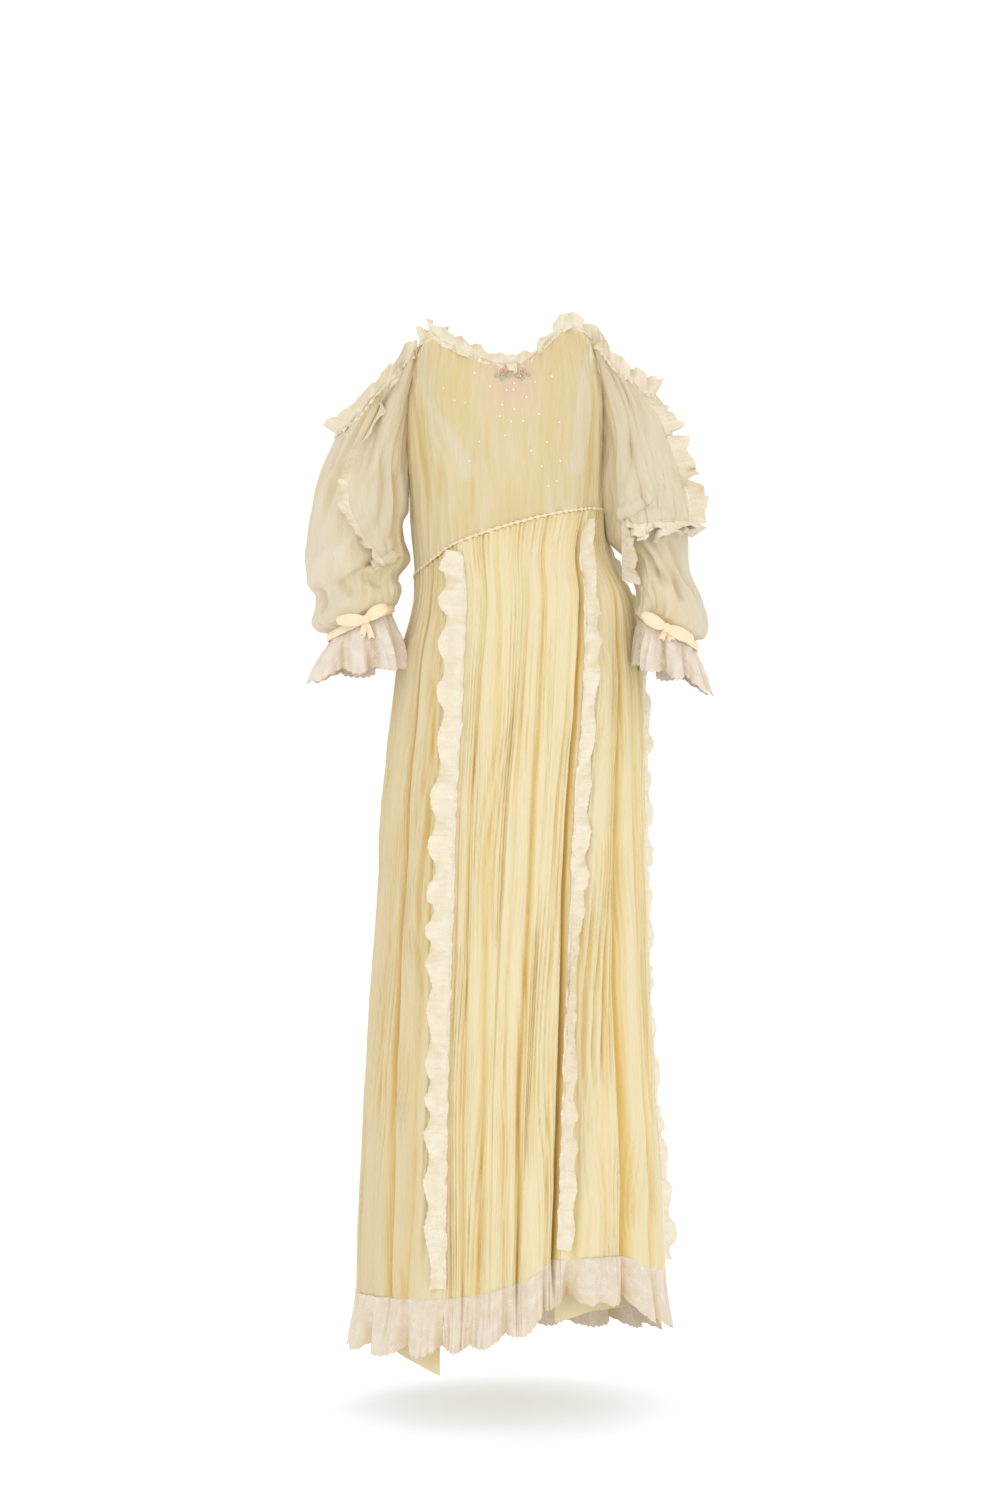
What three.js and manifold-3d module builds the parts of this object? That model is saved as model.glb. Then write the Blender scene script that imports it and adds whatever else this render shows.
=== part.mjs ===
// An off-the-shoulder evening gown of crinkled chiffon trimmed with gathered lace, open and hollow as it is worn.
// Millimetres, +Z up. The front faces -Y and +X is the wearer's left. The origin is the middle of the torso at
// bust height, where the gown is held. Every cloth is a wall: a grid of points on its face, and the same grid
// moved in along the section's own normal by the cloth's thickness.
import * as THREE from "three";
import { mergeVertices } from "three/addons/utils/BufferGeometryUtils.js";
import Module from "manifold-3d";

// Driving dimensions
const GAP = 0.3; // between neighbouring pieces at a seam
const SEWN_ON = 0.7; // between a piece and the curved face that it is sewn to
const CHIFFON = 1.5; // wall of the bodice and sleeves
const SKIRT_CLOTH = 2; // wall of the folded skirt, measured along the section's normal
const LACE = 1.2; // wall of every ruffle and flounce
const LINING = 1.2;
const FOLDS = 40; // gathered folds round the skirt
const FOLD_POINTS = [0, 0.3, 0.5, 0.7]; // a ridge at 0, a valley at 0.5
const UNEVEN = { depth: 0.3, width: 0.17, sway: 0.14 }; // how far the folds differ, as shares of a fold
const CUP = { proud: 9, deg: 33, wide: 20, z: -5, tall: 55 }; // each side of the bust
const WAIST = { z: -193, sideTilt: 38, frontRise: 16, hipDip: 10 };
const FLOUNCE = { flare: 12, deepen: 0.4 };
const NECK_RUFFLE = { width: 23, stand: 0.35, swing: 5 };
const SKIRT_RUFFLE = { width: 29, stand: 0.2, swing: 9 };
const SIDE_RUFFLE_WIDTH = 17; // of the skirt ruffles other than the widest
const SLEEVE_RUFFLE = { width: 26, stand: 0.35, swing: 7 };
const RIBBON = { thick: 1, from: 0.15, to: 0.8 }; // from and to are shares of the cuff's narrow neck
const KNOT = { radius: 6, deep: 0.7 };
const PIPING = { tall: 3, thick: 1.4 };
const ROSEBUD = { radius: 6, deep: 0.7, leafLong: 9, leafWide: 5.2, z: 26 };
const ROSEBUD_DEG = { right: -1.2, left: 10.1 };
const SKIRT_RUFFLE_SPAN = [0.015, 0.97]; // down the skirt

// Half width, and depth to the front and back, of the bodice at each height
const BODICE = [
  { z: -240, cx: 5, cy: 0, half: 126, front: 100, back: 90 },
  { z: -170, cx: 4, cy: 0, half: 130, front: 101, back: 88 },
  { z: -120, cx: 3, cy: 0, half: 131, front: 104, back: 87 },
  { z: -60, cx: 0, cy: 0, half: 133, front: 109, back: 88 },
  { z: 0, cx: 0, cy: 0, half: 134, front: 112, back: 89 },
  { z: 60, cx: 0, cy: 0, half: 128, front: 101, back: 86 },
  { z: 110, cx: 0, cy: 0, half: 116, front: 90, back: 80 },
];

// Height of the neckline and armholes round the bodice, from the centre front towards the wearer's left
const NECKLINE = [
  { deg: -112, z: 42 },
  { deg: -101, z: -15 },
  { deg: -90, z: -58 },
  { deg: -78, z: -8 },
  { deg: -66, z: 64 },
  { deg: -54, z: 82 },
  { deg: -36, z: 67 },
  { deg: -17, z: 48 },
  { deg: 0, z: 36 },
  { deg: 12, z: 41 },
  { deg: 21, z: 59 },
  { deg: 31, z: 78 },
  { deg: 47, z: 95 },
  { deg: 66, z: 77 },
  { deg: 78, z: 4 },
  { deg: 90, z: -48 },
  { deg: 101, z: -10 },
  { deg: 112, z: 45 },
  { deg: 145, z: 38 },
  { deg: 180, z: 34 },
  { deg: 215, z: 37 },
  { deg: 248, z: 42 },
  { deg: 259, z: -15 },
  { deg: 270, z: -58 },
];
const ARMHOLE = { front: 66, under: 90, back: 112 }; // angles round the bodice

// The skirt's outline over its ridges at each height
const SKIRT = [
  { z: -1300, cx: 8, cy: 16, half: 210, front: 184, back: 196 },
  { z: -1080, cx: 7, cy: 14, half: 204, front: 180, back: 186 },
  { z: -945, cx: 6, cy: 12, half: 196, front: 172, back: 176 },
  { z: -810, cx: 7, cy: 10, half: 188, front: 164, back: 166 },
  { z: -675, cx: 9, cy: 9, half: 181, front: 157, back: 157 },
  { z: -540, cx: 11, cy: 8, half: 176, front: 149, back: 148 },
  { z: -405, cx: 18, cy: 6, half: 168, front: 139, back: 137 },
  { z: -270, cx: 20, cy: 3, half: 151, front: 121, back: 117 },
  { z: -210, cx: 15, cy: 1, half: 137, front: 108, back: 101 },
  { z: -150, cx: 5, cy: 0, half: 132, front: 103, back: 90 },
];

// Where the skirt's panels meet: the fold number, and the angle at each of the places down the skirt
const SEAMS = [
  { fold: 0, waist: -30, hip: -28, knee: -26, hem: -25 },
  { fold: 9, waist: 54, hip: 35, knee: 29, hem: 18 },
  { fold: 14, waist: 83, hip: 83, knee: 84, hem: 86 },
  { fold: 23, waist: 170, hip: 170, knee: 170, hem: 170 },
  { fold: 31, waist: 244, hip: 240, knee: 238, hem: 238 },
  { fold: 40, waist: 330, hip: 332, knee: 334, hem: 335 },
];
const DOWN = { waist: 0, hip: 0.12, knee: 0.35, hem: 1 };
const SKIRT_RINGS = [0, 0.04, 0.12, 0.3, 0.62, 1];

// How deep the folds are, down the skirt
const FOLD_DEPTH = [
  { down: 0, depth: 4 },
  { down: 0.04, depth: 6 },
  { down: 0.12, depth: 8 },
  { down: 0.3, depth: 10 },
  { down: 0.62, depth: 12 },
  { down: 1, depth: 14 },
];

// How far the underskirt hangs inside the skirt's outline
const UNDERSKIRT_INSET = [
  { down: 0, inset: 5.2 },
  { down: 0.04, inset: 9.1 },
  { down: 0.12, inset: 14.3 },
  { down: 0.3, inset: 18.2 },
  { down: 0.62, inset: 23.4 },
  { down: 1, inset: 27.3 },
];

// Height of the seam above the hem flounce, and how far the flounce hangs below it
const HEM = [
  { deg: -102, z: -1208, drop: 74 },
  { deg: -90, z: -1205, drop: 74 },
  { deg: -24, z: -1190, drop: 73 },
  { deg: 4, z: -1166, drop: 66 },
  { deg: 17, z: -1138, drop: 58 },
  { deg: 45, z: -1140, drop: 64 },
  { deg: 60, z: -1158, drop: 72 },
  { deg: 85, z: -1176, drop: 74 },
  { deg: 130, z: -1202, drop: 74 },
  { deg: 180, z: -1213, drop: 74 },
  { deg: 230, z: -1213, drop: 74 },
  { deg: 258, z: -1208, drop: 74 },
  { deg: 270, z: -1205, drop: 74 },
  { deg: 336, z: -1190, drop: 73 },
];

// The lining's hem. It is open at the front, from the last angle round to the first.
const LINING_HEM = [
  { deg: 19, z: -1225 },
  { deg: 40, z: -1213 },
  { deg: 90, z: -1222 },
  { deg: 180, z: -1262 },
  { deg: 270, z: -1262 },
  { deg: 308, z: -1281 },
  { deg: 328, z: -1297 },
];

// Each sleeve's free top edge, over the outside of the arm: the angle round the sleeve (0 at the body, 90 in front)
// and the point. Between the last angle and the first, the edge is the bodice's armhole.
const SLEEVE_TOP = {
  right: [
    { turn: 60, x: -119, y: -43, z: 64 },
    { turn: 76, x: -136, y: -50, z: 46 },
    { turn: 92, x: -153, y: -54, z: 26 },
    { turn: 112, x: -172, y: -56, z: 4 },
    { turn: 135, x: -200, y: -48, z: -30 },
    { turn: 180, x: -229, y: 0, z: -46 },
    { turn: 225, x: -206, y: 44, z: -28 },
    { turn: 268, x: -160, y: 52, z: 14 },
    { turn: 300, x: -120, y: 36, z: 42 },
  ],
  left: [
    { turn: 60, x: 119, y: -43, z: 77 },
    { turn: 76, x: 134, y: -50, z: 56 },
    { turn: 92, x: 150, y: -54, z: 36 },
    { turn: 112, x: 168, y: -54, z: 24 },
    { turn: 135, x: 186, y: -46, z: 6 },
    { turn: 180, x: 203, y: 0, z: 8 },
    { turn: 225, x: 190, y: 42, z: 12 },
    { turn: 268, x: 158, y: 52, z: 28 },
    { turn: 300, x: 120, y: 36, z: 45 },
  ],
};

// Sections of each sleeve below its top edge. tilt is the rise of the section for each millimetre towards +X, and
// fold is the depth of its soft folds.
const SLEEVE = {
  right: [
    { z: -86, cx: -190, cy: -2, rx: 55, ry: 52, tilt: 0.02, fold: 5 },
    { z: -136, cx: -198, cy: -5, rx: 63, ry: 60, tilt: 0.05, fold: 5 },
    { z: -194, cx: -203, cy: -12, rx: 66, ry: 64, tilt: 0.12, fold: 5 },
    { z: -232, cx: -197, cy: -20, rx: 68, ry: 62, tilt: 0.24, fold: 4 },
    { z: -252, cx: -201, cy: -23, rx: 53, ry: 52, tilt: 0.3, fold: 3 },
    { z: -262, cx: -201, cy: -26, rx: 52, ry: 50, tilt: 0.32, fold: 3 },
    { z: -279, cx: -202, cy: -30, rx: 57, ry: 53, tilt: 0.38, fold: 4 },
    { z: -292, cx: -198, cy: -34, rx: 50, ry: 48, tilt: 0.42, fold: 3 },
    { z: -296, cx: -194, cy: -36, rx: 41, ry: 40, tilt: 0.45, fold: 2 },
    { z: -303, cx: -194, cy: -38, rx: 40, ry: 39, tilt: 0.45, fold: 2 },
  ],
  left: [
    { z: -47, cx: 181, cy: -2, rx: 44, ry: 50, tilt: 0.4, fold: 4 },
    { z: -96, cx: 185, cy: -5, rx: 51, ry: 53, tilt: 0.2, fold: 4 },
    { z: -142, cx: 191, cy: -10, rx: 55, ry: 54, tilt: 0.1, fold: 4 },
    { z: -185, cx: 195, cy: -18, rx: 54, ry: 52, tilt: 0, fold: 3 },
    { z: -222, cx: 211, cy: -28, rx: 38, ry: 44, tilt: -0.1, fold: 2 },
    { z: -262, cx: 223, cy: -38, rx: 44, ry: 46, tilt: -0.3, fold: 3 },
    { z: -288, cx: 228, cy: -44, rx: 46, ry: 47, tilt: -0.45, fold: 4 },
    { z: -303, cx: 224, cy: -48, rx: 42, ry: 44, tilt: -0.55, fold: 3 },
    { z: -306, cx: 218, cy: -50, rx: 37, ry: 39, tilt: -0.58, fold: 2 },
    { z: -313, cx: 217, cy: -52, rx: 36, ry: 38, tilt: -0.58, fold: 2 },
  ],
};
const SLEEVE_FOLDS = 6;

// Sections of each lace cuff, from the ribbon to its edge
const CUFF = {
  right: [
    { z: -303, cx: -194, cy: -38, rx: 40, ry: 39, tilt: 0.45, fold: 2 },
    { z: -311, cx: -194, cy: -40, rx: 41, ry: 40, tilt: 0.43, fold: 3 },
    { z: -337, cx: -196, cy: -46, rx: 54, ry: 50, tilt: 0.26, fold: 11 },
    { z: -369, cx: -196, cy: -54, rx: 61, ry: 58, tilt: 0.12, fold: 16 },
  ],
  left: [
    { z: -313, cx: 217, cy: -52, rx: 36, ry: 38, tilt: -0.58, fold: 2 },
    { z: -321, cx: 217, cy: -54, rx: 37, ry: 39, tilt: -0.56, fold: 3 },
    { z: -344, cx: 219, cy: -58, rx: 44, ry: 46, tilt: -0.45, fold: 9 },
    { z: -376, cx: 222, cy: -64, rx: 50, ry: 52, tilt: -0.33, fold: 13 },
  ],
};
const CUFF_FOLDS = 8;

// The loose upper layer of each sleeve: the turns that it spans at each ring, and how far it stands off the sleeve
const FLAP = {
  right: [
    { ring: 0.08, from: 62, edge: 86, off: 0.4 },
    { ring: 1, from: 50, edge: 102, off: 1 },
    { ring: 2, from: 44, edge: 98, off: 2 },
    { ring: 3, from: 42, edge: 76, off: 3 },
    { ring: 4, from: 40, edge: 54, off: 3 },
  ],
  left: [
    { ring: 0.08, from: 62, edge: 112, off: 0.6 },
    { ring: 1, from: 50, edge: 124, off: 2 },
    { ring: 2, from: 50, edge: 144, off: 4 },
    { ring: 3, from: 52, edge: 156, off: 6 },
    { ring: 3.65, from: 52, edge: 150, off: 9 },
  ],
};

// A bow on the front of each cuff: the turn it sits at, and its loops and tails, each at an angle below the
// wearer's left
const BOWS = {
  right: {
    turn: 78,
    loops: [{ long: 40, tall: 11, deg: 172 }, { long: 34, tall: 11, deg: -38 }],
    tails: [{ long: 28, tall: 7, deg: 75 }, { long: 24, tall: 7, deg: 105 }],
  },
  left: {
    turn: 84,
    loops: [{ long: 38, tall: 11, deg: 205 }, { long: 40, tall: 11, deg: 22 }],
    tails: [{ long: 20, tall: 7, deg: 66 }, { long: 18, tall: 7, deg: 112 }],
  },
};

const rad = THREE.MathUtils.degToRad;
const mix = THREE.MathUtils.lerp;
const point = (x, y, z) => new THREE.Vector3(x, y, z);
const range = (n) => Array.from({ length: n }, (_, i) => i);
const spaced = (from, to, n) => range(n).map((i) => mix(from, to, i / (n - 1)));

// The listed values, with even steps no longer than most between them.
const stepped = (list, most) =>
  list.flatMap((value, i) => {
    if (i === list.length - 1) return [value];
    const steps = Math.ceil(Math.abs(list[i + 1] - value) / most - 1e-6);
    return spaced(value, list[i + 1], steps + 1).slice(0, -1);
  });

// The angles from one to another where the neckline turns, and between them.
function neckAngles(from, to, most) {
  const turning = NECKLINE.map(({ deg }) => deg).filter((deg) => deg > from && deg < to);
  return stepped([from, ...turning, to], most);
}

// A table's row at a value of one of its columns, in a straight line between the rows beside it.
function rowAt(table, column, value) {
  const rising = table[0][column] < table[table.length - 1][column];
  const last = table.length - 2;
  let i = 0;
  while (i < last && (table[i + 1][column] < value) === rising && table[i + 1][column] !== value) i++;
  const [a, b] = [table[i], table[i + 1]];
  const share = THREE.MathUtils.clamp((value - a[column]) / (b[column] - a[column]), 0, 1);
  return Object.fromEntries(Object.keys(a).map((key) => [key, mix(a[key], b[key], share)]));
}

// A point on an oval section at an angle from the centre front, moved out along the section's normal.
function onOval({ cx, cy, half, front, back }, deg, z, lift) {
  const [sin, cos] = [Math.sin(rad(deg)), Math.cos(rad(deg))];
  const depth = cos > 0 ? front : back;
  const normal = point(sin / half, -cos / depth, 0).normalize();
  return point(cx + half * sin, cy - depth * cos, z).addScaledVector(normal, lift);
}

// The closed wall between two grids of points. With loop, each row's last point joins its first.
function wall(outer, inner, loop = false) {
  const [rows, cols] = [outer.length, outer[0].length];
  const points = [...outer.flat(), ...inner.flat()];
  const faces = [];
  const outerId = (r, c) => r * cols + (c % cols);
  const innerId = (r, c) => rows * cols + outerId(r, c);
  const quad = (a, b, c, d) => faces.push(a, b, c, a, c, d);
  const spans = loop ? cols : cols - 1;
  for (let c = 0; c < spans; c++) {
    for (let r = 0; r < rows - 1; r++) {
      quad(outerId(r, c), outerId(r + 1, c), outerId(r + 1, c + 1), outerId(r, c + 1));
      quad(innerId(r, c), innerId(r, c + 1), innerId(r + 1, c + 1), innerId(r + 1, c));
    }
    quad(outerId(0, c + 1), innerId(0, c + 1), innerId(0, c), outerId(0, c));
    quad(outerId(rows - 1, c), innerId(rows - 1, c), innerId(rows - 1, c + 1), outerId(rows - 1, c + 1));
  }
  for (let r = 0; !loop && r < rows - 1; r++) {
    quad(outerId(r, 0), innerId(r, 0), innerId(r + 1, 0), outerId(r + 1, 0));
    quad(outerId(r + 1, cols - 1), innerId(r + 1, cols - 1), innerId(r, cols - 1), outerId(r, cols - 1));
  }
  return facingOut(points, faces);
}

// A geometry whose faces point out of the solid, whichever way round its grid was given.
function facingOut(points, faces) {
  let volume = 0;
  for (let i = 0; i < faces.length; i += 3) {
    const [a, b, c] = [points[faces[i]], points[faces[i + 1]], points[faces[i + 2]]];
    volume += a.dot(b.clone().cross(c));
  }
  if (volume < 0) faces.reverse();
  const geometry = new THREE.BufferGeometry().setFromPoints(points);
  geometry.setIndex(faces);
  return geometry;
}

const wasm = await Module();
wasm.setup();

// One solid from several that overlap.
function joined(geometries) {
  const solids = geometries.map((geometry) => {
    const bare = geometry.clone().deleteAttribute("normal").deleteAttribute("uv");
    const merged = mergeVertices(bare, 1e-4);
    const vertProperties = merged.attributes.position.array;
    return new wasm.Manifold(new wasm.Mesh({ numProp: 3, vertProperties, triVerts: merged.index.array }));
  });
  const { vertProperties, triVerts } = solids.reduce((a, b) => a.add(b)).getMesh();
  const geometry = new THREE.BufferGeometry();
  geometry.setAttribute("position", new THREE.BufferAttribute(vertProperties, 3));
  return geometry.setIndex(new THREE.BufferAttribute(triVerts, 1));
}

// A wall whose face is surface(column, row, lift) and whose back lies thick below it.
function clothWall(surface, columns, rows, thick, loop = false) {
  const grid = (lift) => rows.map((row) => columns.map((column) => surface(column, row, lift)));
  return wall(grid(0), grid(-thick), loop);
}

// Bodice: the height of its waist seam, and its face at an angle and height

function waist(deg) {
  const onRight = THREE.MathUtils.smoothstep(-Math.sin(rad(deg)), 0.5, 0.95);
  return WAIST.z + WAIST.sideTilt * Math.sin(rad(deg)) + WAIST.frontRise * Math.cos(rad(deg)) - WAIST.hipDip * onRight;
}

function bodice(deg, z, lift) {
  const fromCup = (Math.abs(deg) - CUP.deg) / CUP.wide;
  const cup = CUP.proud * Math.exp(-(fromCup ** 2) - ((z - CUP.z) / CUP.tall) ** 2);
  return onOval(rowAt(BODICE, "z", z), deg, z, cup + lift);
}

function bodicePanel(fromDeg, toDeg, most) {
  const seam = 0.07; // half the gap, in degrees
  const face = (deg, down, lift) => bodice(deg, mix(rowAt(NECKLINE, "deg", deg).z, waist(deg) + GAP / 2, down), lift);
  return clothWall(face, neckAngles(fromDeg + seam, toDeg - seam, most), spaced(0, 1, 7), CHIFFON);
}

// Skirt: every fold has its own width and depth, and drifts a little on its way down

function seamAngle(fold, down) {
  const i = Math.min(SEAMS.filter((seam) => seam.fold <= fold).length - 1, SEAMS.length - 2);
  const [a, b] = [SEAMS[i], SEAMS[i + 1]];
  const share = (fold - a.fold) / (b.fold - a.fold);
  const inPanel = Math.min(1, 4 * share, 4 * (1 - share));
  const width = UNEVEN.width * Math.sin(2.6 * fold);
  const sway = UNEVEN.sway * Math.sin(1.9 * fold + 5 * down);
  const uneven = inPanel * (width + sway);
  const place = share + uneven / (b.fold - a.fold);
  const levels = Object.entries(DOWN).map(([key, at]) => ({ down: at, angle: mix(a[key], b[key], place) }));
  return rowAt(levels, "down", down).angle;
}

function foldDepth(fold, down) {
  const own = 1 + UNEVEN.depth * Math.sin(1.7 * Math.round(fold - 0.5) + 1);
  return rowAt(FOLD_DEPTH, "down", down).depth * own;
}

const hemAt = (deg) => rowAt(HEM, "deg", deg > 270 ? deg - 360 : deg);

// How far a fold has sunk from its ridge, from 0 to 1
const valley = (fold) => 1 - Math.abs(Math.cos(Math.PI * fold)) ** 0.75;

function skirtSection(z, down) {
  const [body, skirt] = [rowAt(BODICE, "z", z), rowAt(SKIRT, "z", z)];
  const share = THREE.MathUtils.smoothstep(down, 0, DOWN.hip);
  return Object.fromEntries(Object.keys(skirt).map((key) => [key, mix(body[key], skirt[key], share)]));
}

function skirt(fold, down, lift) {
  const deg = seamAngle(fold, down);
  const z = mix(waist(deg) - GAP / 2, hemAt(deg).z, down);
  return onOval(skirtSection(z, down), deg, z, lift - foldDepth(fold, down) * valley(fold));
}

function flounce(fold, down, lift) {
  const deg = seamAngle(fold, 1);
  const { z, drop } = hemAt(deg);
  const top = z - GAP;
  const depth = foldDepth(fold, 1) * (1 + FLOUNCE.deepen * down);
  const out = FLOUNCE.flare * down - depth * valley(fold);
  return onOval(rowAt(SKIRT, "z", top), deg, top - drop * down, out + lift);
}

// The fold numbers of a panel's columns, ending just inside its seams.
function foldColumns(from, to) {
  const all = range(to - from).flatMap((i) => FOLD_POINTS.map((share) => from + i + share));
  const seam = 0.008; // half the gap, as a share of a fold
  return [from + seam, ...all.slice(1), to - seam];
}

function lining(deg, down, lift) {
  const z = mix(waist(deg) - 1, rowAt(LINING_HEM, "deg", deg).z, down);
  const { inset } = rowAt(UNDERSKIRT_INSET, "down", down);
  const clear = mix(GAP, 5, Math.min(1, down * 10));
  return onOval(skirtSection(z, down), deg, z, lift - inset - SKIRT_CLOTH - clear);
}

// Sleeves

// A sleeve's section at an angle round it: 0 at the body, 90 in front, 180 outside.
function onSleeveSection({ z, cx, cy, rx, ry, tilt }, side, turn, lift) {
  const inward = side === "left" ? -1 : 1;
  const [cos, sin] = [Math.cos(rad(turn)), Math.sin(rad(turn))];
  const normal = point((inward * cos) / rx, -sin / ry, 0).normalize();
  const p = point(cx + inward * rx * cos, cy - ry * sin, z).addScaledVector(normal, lift);
  p.z += tilt * (p.x - cx);
  return p;
}

function sleeveTop(side, turn, lift) {
  const inward = side === "left" ? -1 : 1;
  const round = (turn + 360) % 360;
  const normal = point(inward * Math.cos(rad(turn)), -Math.sin(rad(turn)), 0);
  if (round >= 60 && round <= 300) {
    const { x, y, z } = rowAt(SLEEVE_TOP[side], "turn", round);
    return point(x, y, z).addScaledVector(normal, lift);
  }
  const signed = round > 180 ? round - 360 : round; // 60 in front, -60 behind
  const to = signed > 0 ? ARMHOLE.front : ARMHOLE.back;
  const deg = mix(ARMHOLE.under, to, Math.abs(signed) / 60) * -inward;
  const z = rowAt(NECKLINE, "deg", deg).z;
  return bodice(deg, z, GAP).addScaledVector(normal, lift);
}

// A sleeve's face. ring 0 is the top edge and ring k is the table's row k.
function sleeve(side, turn, ring, lift) {
  const table = SLEEVE[side];
  const below = Math.min(Math.floor(ring), table.length - 1);
  const onRing = (k) => {
    if (k === 0) return sleeveTop(side, turn, lift);
    const section = table[k - 1];
    const soft = section.fold * (0.5 - 0.5 * Math.cos(rad(turn) * SLEEVE_FOLDS + k * 0.3));
    return onSleeveSection(section, side, turn, lift - soft);
  };
  return onRing(below).lerp(onRing(Math.min(below + 1, table.length)), ring - below);
}

function cuff(side, turn, ring, lift) {
  const section = CUFF[side][ring];
  const swell = section.fold * (0.5 - 0.5 * Math.cos(rad(turn) * CUFF_FOLDS));
  return onSleeveSection({ ...section, z: section.z - (ring ? 0 : GAP) }, side, turn, lift - swell);
}

function flap(side, share, row, lift) {
  const { ring, from, edge, off } = FLAP[side][row];
  return sleeve(side, mix(from, edge, share), ring, lift + SEWN_ON + LACE + off);
}

// Ruffles: a strip gathered on a line of stations. Each station has the root point, the cloth's normal there and
// the direction in which the strip leaves it. both lets the waves swing to both sides of the strip.
function ruffle(stations, { width, swing, stand, waves, both = false }) {
  const lengths = stations.map((s, i) => (i ? s.root.distanceTo(stations[i - 1].root) : 0));
  const total = lengths.reduce((a, b) => a + b);
  let along = 0;
  const rows = stations.map(({ root, normal, away }, i) => {
    along += lengths[i];
    const turn = (along / total) * waves * 2 * Math.PI;
    const wave = swing * (both ? Math.sin(turn) : 0.5 - 0.5 * Math.cos(turn));
    const uneven = 1 + 0.14 * Math.sin(turn * 0.37 + 1);
    const edge = away.clone().multiplyScalar(width * uneven).addScaledVector(normal, wave + stand * width);
    return { root, normal, edge };
  });
  const grid = (lift) =>
    [0, 1].map((across) =>
      rows.map(({ root, normal, edge }) => root.clone().addScaledVector(edge, across).addScaledVector(normal, lift)),
    );
  return wall(grid(LACE), grid(0));
}

// Stations along a list of places on a cloth, from its face and the same face a little further out.
function stationsOn(face, places, away) {
  return places.map((place) => {
    const root = face(place, SEWN_ON);
    const normal = face(place, SEWN_ON + 1).sub(root).normalize();
    return { root, normal, away: away(place, normal) };
  });
}

const UP = point(0, 0, 1);
const sideways = (sign) => (_, normal) => normal.clone().cross(UP).multiplyScalar(-sign);

// A ruffle sewn in a seam of the skirt. Its free edge points towards +1, the wearer's left, or -1.
function skirtRuffle(fold, sign, waves, width) {
  const [from, to] = SKIRT_RUFFLE_SPAN;
  const rings = [from, ...SKIRT_RINGS.slice(1, -1), to];
  const face = (down, lift) => {
    const i = SKIRT_RINGS.findIndex((_, k) => SKIRT_RINGS[k + 1] >= down);
    const share = (down - SKIRT_RINGS[i]) / (SKIRT_RINGS[i + 1] - SKIRT_RINGS[i]);
    return skirt(fold, SKIRT_RINGS[i], lift).lerp(skirt(fold, SKIRT_RINGS[i + 1], lift), share);
  };
  const places = stepped(rings, (to - from) / waves / 4);
  return ruffle(stationsOn(face, places, sideways(sign)), { ...SKIRT_RUFFLE, width, waves });
}

// A ruffle that stands on the top edge of the bodice or a sleeve, leaning out.
function standingRuffle(face, places, waves) {
  const stations = stationsOn(face, places, () => UP).map(({ root, normal, away }) => ({
    root: root.addScaledVector(UP, GAP).addScaledVector(normal, -SEWN_ON - LACE),
    normal,
    away,
  }));
  return ruffle(stations, { ...NECK_RUFFLE, waves, both: true });
}

// The ruffle along a sleeve flap's free edge, and round the bottom edge of the long one.
function flapRuffle(side, waves) {
  const last = FLAP[side].length - 1;
  const places = stepped(range(last + 1), 0.25).map((row) => ({ share: 1, row, down: 0 }));
  if (side === "left") {
    places.pop();
    stepped([0.98, 0], 0.05).forEach((share, i) => places.push({ share, row: last, down: Math.min(1, 0.5 + i / 4) }));
  }
  const face = ({ share, row }, lift) => {
    const below = Math.min(Math.floor(row), last - 1);
    return flap(side, share, below, lift).lerp(flap(side, share, below + 1, lift), row - below);
  };
  const outward = side === "left" ? 1 : -1;
  const away = ({ down }, normal) => {
    const across = sideways(outward)(null, normal).multiplyScalar(1 - down);
    return across.addScaledVector(UP, -down).addScaledVector(normal, 0.25).normalize();
  };
  return ruffle(stationsOn(face, places, away), { ...SLEEVE_RUFFLE, waves });
}

// A ribbon round a cuff, over the seam between the sleeve and its lace
function cuffBand(side, turn, share, lift) {
  const [above, below] = [SLEEVE[side].at(-2), CUFF[side][1]];
  const section = Object.fromEntries(Object.keys(above).map((key) => [key, mix(above[key], below[key], share)]));
  return onSleeveSection(section, side, turn, lift + SEWN_ON + RIBBON.thick);
}

// A tied bow, flat in XZ with its knot at the origin: two loops, two tails and the knot, in one piece.
function bow(loops, tails) {
  const loop = ({ long, tall, deg }) => {
    const outline = (shrink) =>
      range(8).map((i) => {
        const a = (i / 8) * 2 * Math.PI;
        const swell = (4.6 - shrink) * Math.sin(a) * (0.4 + 0.6 * Math.sin(a / 2));
        return [long / 2 - (long / 2 - shrink) * Math.cos(a), swell];
      });
    const grid = (shrink) => [-1, 1].map((end) => outline(shrink).map(([x, y]) => point(x, y, (end * tall) / 2)));
    return wall(grid(0), grid(RIBBON.thick), true).rotateY(rad(deg));
  };
  const tail = ({ long, tall, deg }) => {
    const face = (share, end, lift) => point(long * share, 1.6 * Math.sin(share * 5) - lift, (end * tall) / 2);
    return clothWall(face, spaced(0, 1, 5), [-1, 1], RIBBON.thick).rotateY(rad(deg));
  };
  const knot = new THREE.SphereGeometry(KNOT.radius, 6, 4).scale(1, KNOT.deep, 1);
  return joined([knot, ...loops.map(loop), ...tails.map(tail)]);
}

// A small ribbon rose between two leaves, flat in XZ with its back at the origin.
function rosebud() {
  const { radius, deep, leafLong, leafWide } = ROSEBUD;
  const bud = new THREE.SphereGeometry(radius, 8, 5).scale(1, deep, 1).translate(0, -deep * radius, 0);
  const leaf = (deg) =>
    new THREE.OctahedronGeometry(1)
      .scale(leafLong / 2, 1, leafWide / 2)
      .translate(radius + 1, -2, 0)
      .rotateY(rad(deg));
  return joined([bud, leaf(35), leaf(145)]);
}

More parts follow.
